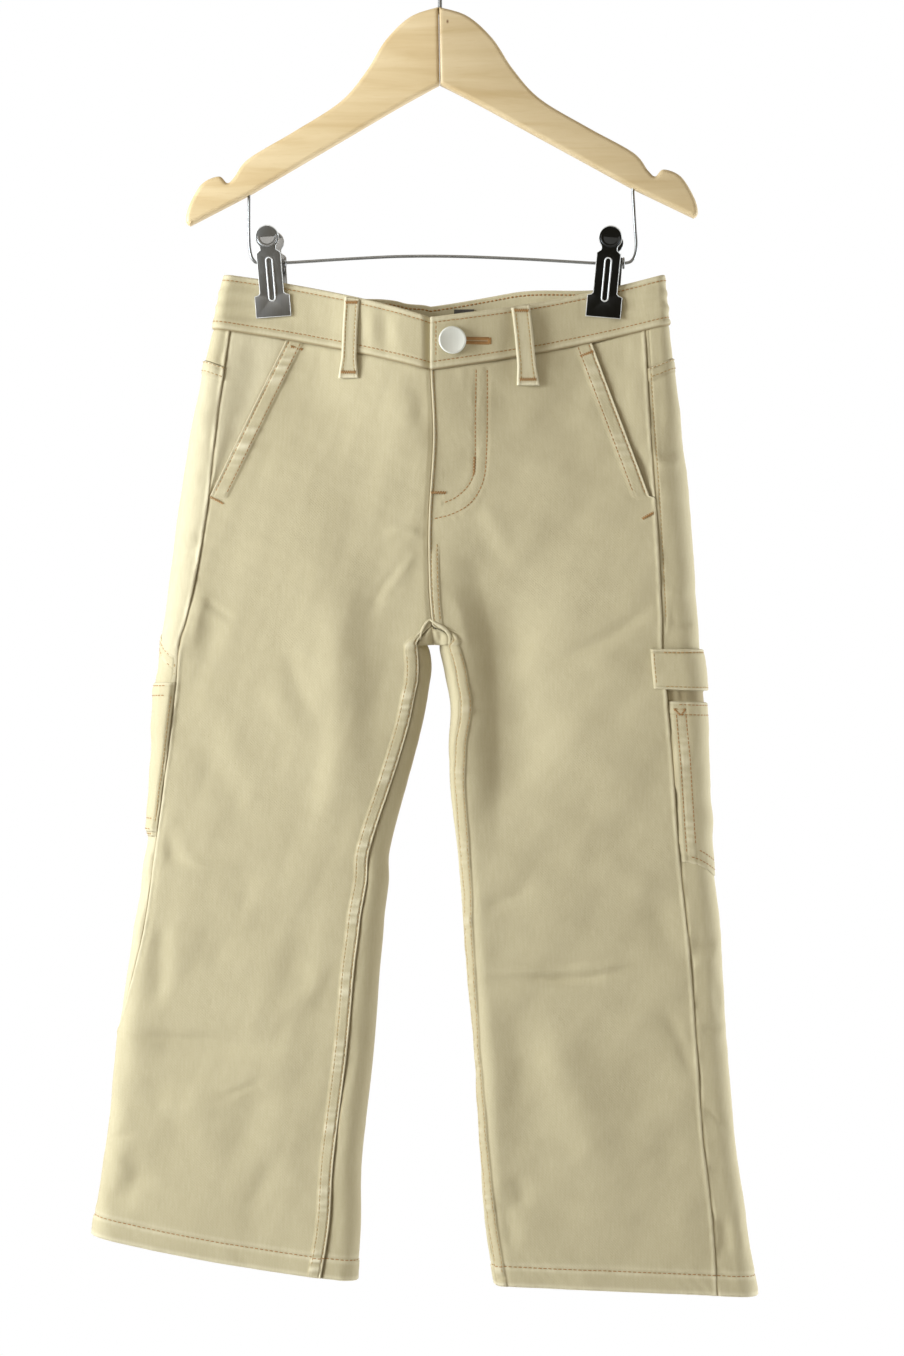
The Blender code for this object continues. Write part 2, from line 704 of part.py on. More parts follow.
def yoke(side):
    levels = [0.0, 0.5, 1.0]

    def place(column, part):
        seam = yoke_level(across_of(back_place(side, column, 1.5)))
        level = 1.0 + part * (seam - 1.0)
        return back_place(side, column, level), level

    grid = grid_of(side, BACK_COLUMNS, levels, place)
    points = drawn_in(grid.points, 0.5 * SEAM_GAP)
    cloth_body("yoke_" + side, twill("yoke_" + side), points, grid.normals, even_wall(levels, PANEL_WALL))


def back_panel(side):
    """From the yoke down, round the outer fold to the side seam and round the inner to the inseam."""
    full = LOWER_LEVELS[0]

    def place(column, level):
        if level < full:
            seam = yoke_level(across_of(back_place(side, column, 1.5)))
            level = seam + (level - YOKE_SEAM) / (full - YOKE_SEAM) * (full - seam)
        return back_place(side, column, level), level

    grid = grid_of(side, BACK_COLUMNS, BACK_LEVELS, place)
    points = drawn_in(grid.points, 0.5 * SEAM_GAP)
    cloth_body("back_" + side, twill("back_" + side), points, grid.normals, panel_walls(BACK_LEVELS))
    return grid


def patch(name, panel, columns, level_rows, lift):
    """A flat piece sewn on a panel: places on the panel's own facets, moved out."""
    points = []
    normals = []
    for row in range(len(level_rows(columns[0]))):
        found = [panel.at(column, level_rows(column)[row]) for column in columns]
        points.append([point + normal * (lift + PANEL_WALL) for point, normal in found])
        normals.append([normal for _, normal in found])
    cloth_body(name, twill(name), points, normals, even_wall(points, PANEL_WALL))


def straight_patch(name, panel, size, lift):
    """A patch whose top and bottom follow two levels."""
    columns = between(BACK_COLUMNS, size["start"], size["end"])
    levels = between(BACK_LEVELS, size["top"], size["bottom"])
    patch(name, panel, columns, lambda column: levels, lift)


def back_pocket(side, panel):
    size = BACK_POCKET
    columns = between(BACK_COLUMNS, size["start"], size["end"])
    middle = 0.5 * (size["start"] + size["end"])
    half = 0.5 * (size["end"] - size["start"])

    def rows(column):
        foot = size["side"] + size["point"] * (1.0 - abs(column - middle) / half)
        return between(BACK_LEVELS, size["top"], size["last_row"]) + [foot]

    patch("back_pocket_" + side, panel, columns, rows, LAY_GAP)


def tool_pocket_left(panel):
    size = TOOL_POCKET_LEFT
    columns = between(BACK_COLUMNS, size["start"], size["end"])

    def rows(column):
        part = (column - size["start"]) / (size["end"] - size["start"])
        foot = size["foot_start"] + (size["foot_end"] - size["foot_start"]) * part
        return between(BACK_LEVELS, size["top"], size["last_row"]) + [foot]

    patch("tool_pocket_left", panel, columns, rows, LAY_GAP)


def tool_pocket_right(panel):
    """A pocket with a slanted top, and a smaller one over its lower part."""
    size = TOOL_POCKET_RIGHT_UNDER
    columns = between(BACK_COLUMNS, size["start"], size["end"])
    first_row = min(level for level in BACK_LEVELS if level > size["top_end"])

    def rows(column):
        part = (column - size["start"]) / (size["end"] - size["start"])
        top = size["top_start"] + (size["top_end"] - size["top_start"]) * part
        return [top, 0.5 * (top + first_row)] + between(BACK_LEVELS, first_row, size["bottom"])

    patch("tool_pocket_right_under", panel, columns, rows, LAY_GAP)
    straight_patch("tool_pocket_right_over", panel, TOOL_POCKET_RIGHT_OVER, 2.0 * LAY_GAP + PANEL_WALL)


def waistband():
    """One strip round the waist. Its left end lies on top at the centre front, its right end runs under."""
    places = [("left", turn, 0.0) for turn in BAND_TURNS]
    places += [("left", 2.0 - turn, 0.0) for turn in reversed(BAND_TURNS[1:-1])]
    places += [("right", 2.0 - turn, 0.0) for turn in BAND_TURNS[1:-1]]
    for turn in reversed(BAND_TURNS):
        places.append(("right", turn, UNDERLAP_INSET * smooth((turn - UNDERLAP_FROM) / UNDERLAP_RAMP)))
    places += [("left", turn, UNDERLAP_INSET) for turn in UNDERLAP_TURNS]
    points = []
    normals = []
    for level in BAND_LEVELS:
        row_normals = [cloth_normal(side, turn, level) for side, turn, _ in places]
        points.append([cloth_point(side, turn, level) + normal * (BAND_RELIEF - inset)
                       for (side, turn, inset), normal in zip(places, row_normals)])
        normals.append(row_normals)
    points = drawn_in(points, SEAM_GAP)
    cloth_body("waistband", twill("waistband"), points, normals, even_wall(BAND_LEVELS, BAND_WALL))


def strip_on(name, material, corners, rows, at_back, lift, wall):
    """A strip from a top to a foot, three columns wide; lift gives its height over the cloth at each row."""
    points = []
    normals = []
    for k in range(rows):
        part = k / (rows - 1)
        x, z, width = [a + (b - a) * part for a, b in corners]
        found = [place_on(x + 0.5 * width * offset, z, at_back) for offset in (-1.0, 0.0, 1.0)]
        row_normals = [cloth_normal(*place) for place in found]
        points.append([cloth_point(*place) + normal * lift(part)
                       for place, normal in zip(found, row_normals)])
        normals.append(row_normals)
    cloth_body(name, material, points, normals, even_wall(points, wall))


def belt_loops():
    for number, loop in enumerate(BELT_LOOPS, start=1):
        corners = [(loop.top_x, loop.foot_x), (loop.top_z, loop.foot_z), (loop.top_width, loop.foot_width)]
        name = f"belt_loop_{number}"
        strip_on(name, twill(name), corners, LOOP_ROWS, loop.at_back,
                 lambda part: LOOP_STAND_OFF + LOOP_WALL + LOOP_ARCH * math.sin(math.pi * part), LOOP_WALL)


def zip_behind_fly():
    depth = PANEL_WALL + LAY_GAP
    corners = [(ZIP_X, ZIP_X), (ZIP_TOP, ZIP_BOTTOM), (ZIP_WIDTH, ZIP_WIDTH)]
    tape = new_material("zip_tape", (190, 176, 140), 0.8)
    strip_on("zip_tape", tape, corners, ZIP_ROWS, False, lambda part: -depth, ZIP_WALL)
    place = place_on(ZIP_X, ZIP_TOP - SLIDER_SIZE[2], False)
    inward = -cloth_normal(*place)
    centre = cloth_point(*place) + inward * (depth + ZIP_WALL + LAY_GAP + 0.5 * SLIDER_SIZE[1])
    mesh = bmesh.new()
    bmesh.ops.create_cube(mesh, size=1.0)
    bmesh.ops.scale(mesh, vec=Vector(SLIDER_SIZE) * MM, verts=mesh.verts)
    bmesh.ops.bevel(mesh, geom=mesh.edges[:], offset=0.0006, segments=1, affect="EDGES")
    mesh.transform(Matrix.Translation(centre * MM) @ facing(inward))
    add_body("zip_slider", mesh, new_material("zip_slider", (170, 160, 130), 0.35, 1.0))


def facing(direction):
    """A turn that points a body's y along a direction, keeping its z near up."""
    return direction.to_track_quat("Y", "Z").to_matrix().to_4x4()


def inner_label():
    depth = BAND_WALL - BAND_RELIEF + LAY_GAP
    middle = 0.5 * (LABEL_X[0] + LABEL_X[1])
    width = LABEL_X[1] - LABEL_X[0]
    corners = [(middle, middle), LABEL_Z, (width, width)]
    strip_on("inner_label", new_material("inner_label", (60, 58, 55), 0.8), corners, 3, True,
             lambda part: -depth, LABEL_WALL)


def button():
    """A shallow metal button with a low rim, on the overlapping end of the waistband."""
    place = place_on(*BUTTON_PLACE, False)
    out = cloth_normal(*place)
    base = cloth_point(*place) + out * (BAND_RELIEF + LAY_GAP)
    turn = out.to_track_quat("Z", "Y").to_matrix().to_4x4()
    turned("button", new_material("button", (196, 196, 186), 0.4, 1.0), BUTTON_PROFILE,
           Matrix.Translation(base * MM) @ turn, False)


# ---------------------------------------------------------------- the hanger

def arm_outline(direction):
    """Half the hanger's outline, from the joint over the top to the tip and back below."""
    joint = 0.5 * SEAM_GAP
    top = smooth_path([(0.0, 0.0)] + UPPER_EDGE + TIP, EDGE_STEPS)
    below = smooth_path(LOWER_EDGE + [(joint, LOWER_CENTRE)], 2)
    outline = [(joint, 0.0)] + [point for point in top if point[0] > WOOD_EDGE] + below
    return [(direction * x, z + WOOD_TOP) for x, z in outline]


def hanger_arm(side, direction, bar_end):
    mesh = flat_plate([arm_outline(direction)], WOOD_THICKNESS, WOOD_EDGE)
    pivot = HANGER_PIVOT * MM
    tilt = Matrix.Rotation(HANGER_TILT, 4, "Y")
    mesh.transform(Matrix.Translation(pivot) @ tilt @ Matrix.Translation(-pivot))
    arm = add_body("hanger_arm_" + side, mesh, wood("hanger_arm_" + side))
    x, z = bar_end
    top = (x, 0.0, z + BAR_IN_WOOD + RUNNING_GAP)
    cut(arm, cutter_rod("bar_hole_" + side, (x, 0.0, z - HOLE_REACH), top, BAR_RADIUS + RUNNING_GAP))
    foot = (0.0, 0.0, WOOD_TOP - HOOK_SHANK_DEPTH - RUNNING_GAP)
    over = (0.0, 0.0, WOOD_TOP + HOLE_REACH)
    cut(arm, cutter_rod("hook_hole_" + side, over, foot, HOOK_RADIUS + RUNNING_GAP))


def hook():
    """A plain wire crook over its own shank. The inside of its top is the seat."""
    centre_z = HOOK_RADIUS - HOOK_CROOK
    angles = [HOOK_NECK_ANGLE + HOOK_SWEEP * k / HOOK_STEPS for k in range(HOOK_STEPS + 1)]
    crook = [(HOOK_CROOK * math.cos(a), HOOK_CROOK * math.sin(a)) for a in angles]
    bends = smooth_path(HOOK_NECK + [crook[0]], 4) + crook[1:]
    route = [(0.0, 0.0, WOOD_TOP - HOOK_SHANK_DEPTH), (0.0, 0.0, WOOD_TOP)]
    route += [(x, 0.0, z + centre_z) for x, z in bends]
    wire("hook", steel("hook"), route, HOOK_RADIUS)


def clip_bar():
    """A wire bent down out of each arm and across between them, through both clips."""
    first = (BAR_ROUTE[0][0], BAR_ROUTE[0][1] + BAR_IN_WOOD)
    last = (BAR_ROUTE[-1][0], BAR_ROUTE[-1][1] + BAR_IN_WOOD)
    route = [first] + smooth_path(BAR_ROUTE, BAR_STEPS) + [last]
    wire("clip_bar", steel("clip_bar"), [(x, 0.0, z) for x, z in route], BAR_RADIUS)


def ring_on_bar(name, material, x, z, outer, width):
    """A ring round the bar with a running gap."""
    bore = BAR_RADIUS + RUNNING_GAP
    profile = [(bore, -0.5 * width), (bore, 0.5 * width), (outer, 0.5 * width), (outer, -0.5 * width)]
    across = Matrix.Rotation(math.radians(90.0), 4, "Y")
    turned(name, material, profile, Matrix.Translation(Vector((x, 0.0, z)) * MM) @ across, True)


def leaf_outline():
    """A clip leaf: round head, neck, straight body, and a wider jaw."""
    head_end = math.asin(NECK_HALF / HEAD_RADIUS)
    steps = 12
    right = []
    for k in range(steps + 1):
        angle = (math.pi - head_end) * k / steps
        right.append((HEAD_RADIUS * math.sin(angle), HEAD_RADIUS * math.cos(angle)))
    right += [(NECK_HALF, NECK_W), (BODY_HALF, BODY_TOP_W), (BODY_HALF, JAW_TOP_W + JAW_FLARE)]
    right += [(BODY_HALF + JAW_FLARE, JAW_TOP_W), (JAW_HALF, JAW_TOP_W - 0.5 * JAW_FLARE)]
    right += [(JAW_HALF, JAW_BOTTOM_W)]
    left = [(-u, w) for u, w in reversed(right[1:])]
    return right + left


def slot_outline():
    """A long slot with round ends."""
    steps = 6
    points = []
    for centre, start in ((SLOT_TOP_W - SLOT_HALF, 0.0), (SLOT_BOTTOM_W + SLOT_HALF, math.pi)):
        for k in range(steps + 1):
            angle = start + math.pi * k / steps
            points.append((SLOT_HALF * math.cos(angle), centre + SLOT_HALF * math.sin(angle)))
    return points


def leaf_y(w):
    """How far in front of the bar a leaf's middle lies: flat at the jaw, then leaning out."""
    return JAW_Y + max(0.0, w - LEAF_BEND_W) * LEAF_SLOPE


def clip_leaf(side, which):
    """A bent plate with a head to press, a slot, and two ears that the bar runs through."""
    mesh = flat_plate([leaf_outline(), slot_outline()], LEAF_WALL)
    bmesh.ops.bisect_plane(mesh, geom=mesh.verts[:] + mesh.edges[:] + mesh.faces[:],
                           plane_co=(0.0, 0.0, LEAF_BEND_W * MM), plane_no=(0.0, 0.0, 1.0))
    for vert in mesh.verts:
        vert.co.y -= leaf_y(vert.co.z / MM) * MM
    name = f"clip_{side}_{which}_leaf"
    place = leaf_matrix(side, which)
    mesh.transform(place)
    leaf = add_body(name, mesh, steel(name))
    for number, direction in enumerate((-1.0, 1.0)):
        cut(leaf, ear(f"{name}_ear_{number}", direction, place), "UNION")
    x, z = CLIP_BAR[side]
    ends = ((x - HOLE_REACH, 0.0, z), (x + HOLE_REACH, 0.0, z))
    cut(leaf, cutter_rod(name + "_bar_hole", *ends, BAR_RADIUS + RUNNING_GAP))


def leaf_matrix(side, which):
    """Where a clip leaf stands: leaning in its plane, and the rear one turned to face back."""
    x, z = CLIP_BAR[side]
    shift = REAR_LEAF_SHIFT if which == "rear" else 0.0
    flip = Matrix.Scale(-1.0 if which == "rear" else 1.0, 4, (0.0, 1.0, 0.0))
    lean = Matrix.Rotation(CLIP_LEAN[side], 4, "Y")
    up = Matrix.Translation((0.0, 0.0, CLIP_BAR_BELOW_HEAD * MM))
    return Matrix.Translation(((x + shift) * MM, 0.0, z * MM)) @ lean @ up @ flip


def ear(name, direction, place):
    """A flange from the leaf's edge back past the bar."""
    outline = [(-leaf_y(EAR_TOP_W), EAR_TOP_W), (-leaf_y(EAR_BOTTOM_W), EAR_BOTTOM_W),
               (EAR_REACH, EAR_BOTTOM_W + EAR_SLANT), (EAR_REACH, EAR_TOP_W - EAR_SLANT)]
    mesh = flat_plate([outline], EAR_WALL)
    mesh.transform(Matrix.Rotation(math.radians(90.0), 4, "Z"))
    mesh.transform(Matrix.Translation((direction * (EAR_OUT - 0.5 * EAR_WALL) * MM, 0.0, 0.0)))
    mesh.transform(place)
    bmesh.ops.recalc_face_normals(mesh, faces=mesh.faces)
    return hidden(name, mesh)


def clips():
    for side in ("right", "left"):
        x, z = CLIP_BAR[side]
        clip_leaf(side, "front")
        clip_leaf(side, "rear")
        spring = f"clip_{side}_spring"
        ring_on_bar(spring, steel(spring), x + 0.5 * REAR_LEAF_SHIFT, z, SPRING_RADIUS, SPRING_WIDTH)
        stop = "bar_stop_" + side
        ring_on_bar(stop, steel(stop), STOP_X[side], z, STOP_RADIUS, STOP_WIDTH)


def jeans():
    for side in ("right", "left"):
        front_panel(side)
        pocket_facing(side)
        yoke(side)
        panel = back_panel(side)
        back_pocket(side, panel)
        if side == "left":
            tool_pocket_left(panel)
            straight_patch("hammer_loop", panel, HAMMER_LOOP, 2.0 * LAY_GAP)
        else:
            tool_pocket_right(panel)
    waistband()
    belt_loops()
    zip_behind_fly()
    inner_label()
    button()


def hanger():
    hanger_arm("right", -1.0, BAR_ROUTE[0])
    hanger_arm("left", 1.0, BAR_ROUTE[-1])
    hook()
    clip_bar()
    clips()


clear_scene()
MODEL = new_collection("clip_hanger_jeans")
CUTTERS = new_collection("cutters")
jeans()
hanger()
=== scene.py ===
import math
from collections import namedtuple

import bmesh
import bpy
import numpy as np
from mathutils import Matrix, Vector
from mathutils.bvhtree import BVHTree


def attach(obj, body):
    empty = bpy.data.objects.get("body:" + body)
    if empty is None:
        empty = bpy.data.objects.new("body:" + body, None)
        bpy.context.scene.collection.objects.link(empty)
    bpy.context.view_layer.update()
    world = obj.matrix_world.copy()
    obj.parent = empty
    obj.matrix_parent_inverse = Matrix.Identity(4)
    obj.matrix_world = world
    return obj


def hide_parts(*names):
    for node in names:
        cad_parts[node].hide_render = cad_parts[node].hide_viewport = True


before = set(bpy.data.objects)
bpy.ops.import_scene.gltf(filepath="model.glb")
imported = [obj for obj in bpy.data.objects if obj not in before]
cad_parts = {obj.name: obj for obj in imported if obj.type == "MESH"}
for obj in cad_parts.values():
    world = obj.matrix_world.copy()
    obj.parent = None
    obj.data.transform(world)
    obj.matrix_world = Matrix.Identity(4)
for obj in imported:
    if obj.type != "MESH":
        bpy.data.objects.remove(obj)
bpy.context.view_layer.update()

MM = 0.001
TINY = 1e-9

# ---------------------------------------------------------------- the form of the cloth

CROTCH = 6
FORK = 5
FOLD_ROUND = 1.05
PINCHED = 2.6
PINCH_EASE = 1.8
PINCH_EASE_FROM = 0.7
END_LOOP = 5.0
END_LOOP_EASE = 1.5
PINCH_LEVELS = 2.2
# The rise of the back's top edge fades out over this many levels, from level 1 down
BACK_RISE_LEVELS = 4.0
# How far the back's top edge stands above the front's, by the part of the way in to the centre
BACK_RISE = {
    "right": [(0.58, 0.0), (0.86, 6.4), (1.0, 9.5)],
    "left": [(0.2, 0.0), (0.66, 10.0), (1.0, 9.5)],
}
CLIP_X = {"right": -103.8, "left": 101.9}
JAW_HALF = 10.8
HEM_LEVEL = 14.0
HEM_ROUND_LEVELS = 0.05
YOKE_AT_SIDE = 1.42
YOKE_AT_CENTRE = 2.0
MOUTH = {"right": ((-96.3, -269.5), (-143.0, -367.6)), "left": ((95.6, -272.6), (132.5, -373.3))}
MOUTH_END = 2.95
CENTRE_X = -5.0

Section = namedtuple("Section", "outer_x outer_z inner_x inner_z bow front back outseam inseam")
SECTIONS = {
    "right": [
        Section(-135.0, -230.0, -6.0, -258.0, 3.5, 18.0, 13.0, 11.0, 0.0),   # band top
        Section(-142.0, -262.6, -6.0, -289.5, 2.6, 18.0, 13.0, 11.5, 0.0),   # waist seam
        Section(-153.0, -313.3, -4.4, -332.0, 0.0, 17.0, 14.0, 15.3, 0.0),   # pocket
        Section(-162.5, -369.5, -7.2, -382.0, 0.0, 16.0, 15.0, 18.8, 0.0),   # hip
        Section(-168.4, -416.4, -6.9, -422.6, 0.0, 15.0, 16.0, 17.2, 0.0),   # seat
        Section(-172.5, -444.5, -5.0, -447.6, 0.0, 14.0, 15.0, 15.0, 0.0),   # fork
        Section(-174.0, -460.0, -3.5, -460.0, 0.0, 13.5, 14.5, 12.2, 0.0),   # crotch
        Section(-177.3, -488.0, -6.9, -482.0, 0.0, 12.5, 13.0, 12.8, 7.2),   # thigh top
        Section(-179.4, -532.0, -17.5, -532.0, 0.0, 12.0, 12.0, 9.4, 8.9),   # thigh
        Section(-183.8, -588.0, -32.5, -594.5, 0.0, 12.0, 12.0, 6.2, 12.3),  # knee
        Section(-191.9, -644.5, -37.2, -650.8, 0.0, 12.0, 12.0, 5.9, 15.0),  # calf
        Section(-200.6, -700.8, -41.3, -713.0, 0.0, 12.0, 12.0, 0.0, 16.0),  # shin
        Section(-207.5, -763.0, -48.8, -782.0, -1.0, 12.0, 12.0, -8.0, 16.9),  # ankle
        Section(-213.4, -800.8, -49.4, -822.6, -2.0, 12.0, 12.0, -12.0, 19.0),  # cuff
        Section(-217.5, -827.6, -51.9, -856.4, -3.0, 12.0, 12.0, -16.0, 21.9),  # hem edge
    ],
    "left": [
        Section(140.0, -230.0, -6.0, -258.0, -2.5, 18.0, 13.0, 15.0, 0.0),
        Section(143.1, -260.0, -6.0, -289.5, -2.0, 18.0, 13.0, 15.0, 0.0),
        Section(150.0, -313.3, -4.4, -332.0, 0.0, 17.0, 14.0, 19.4, 0.0),
        Section(155.6, -369.5, -7.2, -382.0, 0.0, 16.0, 15.0, 21.3, 0.0),
        Section(158.8, -416.4, -6.9, -422.6, 0.0, 15.0, 16.0, 21.9, 0.0),
        Section(161.3, -444.5, -5.0, -447.6, 0.0, 14.0, 15.0, 23.1, 0.0),
        Section(162.2, -460.0, -3.5, -460.0, 0.0, 13.5, 14.5, 23.8, 0.0),
        Section(165.6, -488.0, 3.1, -482.0, 0.0, 12.5, 13.0, 24.7, 6.2),
        Section(166.9, -532.0, 6.3, -532.0, 0.0, 12.0, 12.0, 21.9, 3.1),
        Section(170.0, -588.0, 11.9, -594.5, 0.0, 12.0, 12.0, 21.0, 1.3),
        Section(175.6, -644.5, 15.9, -650.8, 0.0, 12.0, 12.0, 20.6, 0.5),
        Section(178.8, -700.8, 21.9, -713.0, 0.0, 12.0, 12.0, 19.4, 0.0),
        Section(183.8, -763.0, 25.6, -782.0, 0.0, 12.0, 12.0, 20.0, 0.5),
        Section(191.9, -819.5, 28.8, -822.6, 0.0, 12.0, 12.0, 22.0, 1.0),
        Section(198.1, -866.4, 34.4, -859.0, 0.0, 12.0, 12.0, 25.6, 1.5),
    ],
}

# How far off the centre line each inner fold starts at the crotch, the levels over which that
# comes and fades, and how the inseams run out from the centre line, as level and distance
GAP_SHIFT = {"right": -4.6, "left": 3.5}
GAP_RAMP = 0.03
GAP_FADE = 0.45
JUNCTION = 5.05
INSEAM_TOP = {
    "right": [(5.05, 0.0), (5.2, 3.6), (5.35, 6.2), (5.7, 9.7), (6.0, 10.9), (6.4, 9.2), (7.0, 7.6)],
    "left": [(5.05, 0.0), (5.2, 6.0), (5.35, 10.1), (5.6, 11.4), (6.0, 8.4), (6.4, 7.2), (7.0, 6.5)],
}

# Creases laid one by one: the ends of each crest or trough, its half width and its height
Fold = namedtuple("Fold", "at_back top_x top_z foot_x foot_z half_width rise")
FOLDS = [
    Fold(False, -62.0, -395.0, -96.0, -572.0, 24.0, 3.4),    # broad crest down the right thigh
    Fold(False, -22.0, -408.0, -58.0, -540.0, 22.0, -2.0),    # from the crotch down the right thigh
    Fold(False, -191.0, -704.0, -92.0, -712.0, 8.0, -2.2),   # across the right shin
    Fold(False, 3.0, -412.0, 23.0, -545.0, 8.0, 1.0),        # crest beside the left inseam
    Fold(False, 34.0, -418.0, 49.0, -552.0, 18.0, -2.6),      # from the crotch down the left thigh
    Fold(False, 28.0, -661.0, 104.0, -667.0, 8.0, -2.4),     # across the left calf
    Fold(True, -34.0, -456.0, -122.0, -486.0, 11.0, -3.6),   # under the right seat
    Fold(True, -60.0, -596.0, -158.0, -588.0, 9.0, -2.4),    # behind the right knee
    Fold(True, 22.0, -458.0, 112.0, -479.0, 12.0, -3.2),     # under the left seat
    Fold(True, 38.0, -606.0, 132.0, -618.0, 8.0, -2.6),      # behind the left knee
]
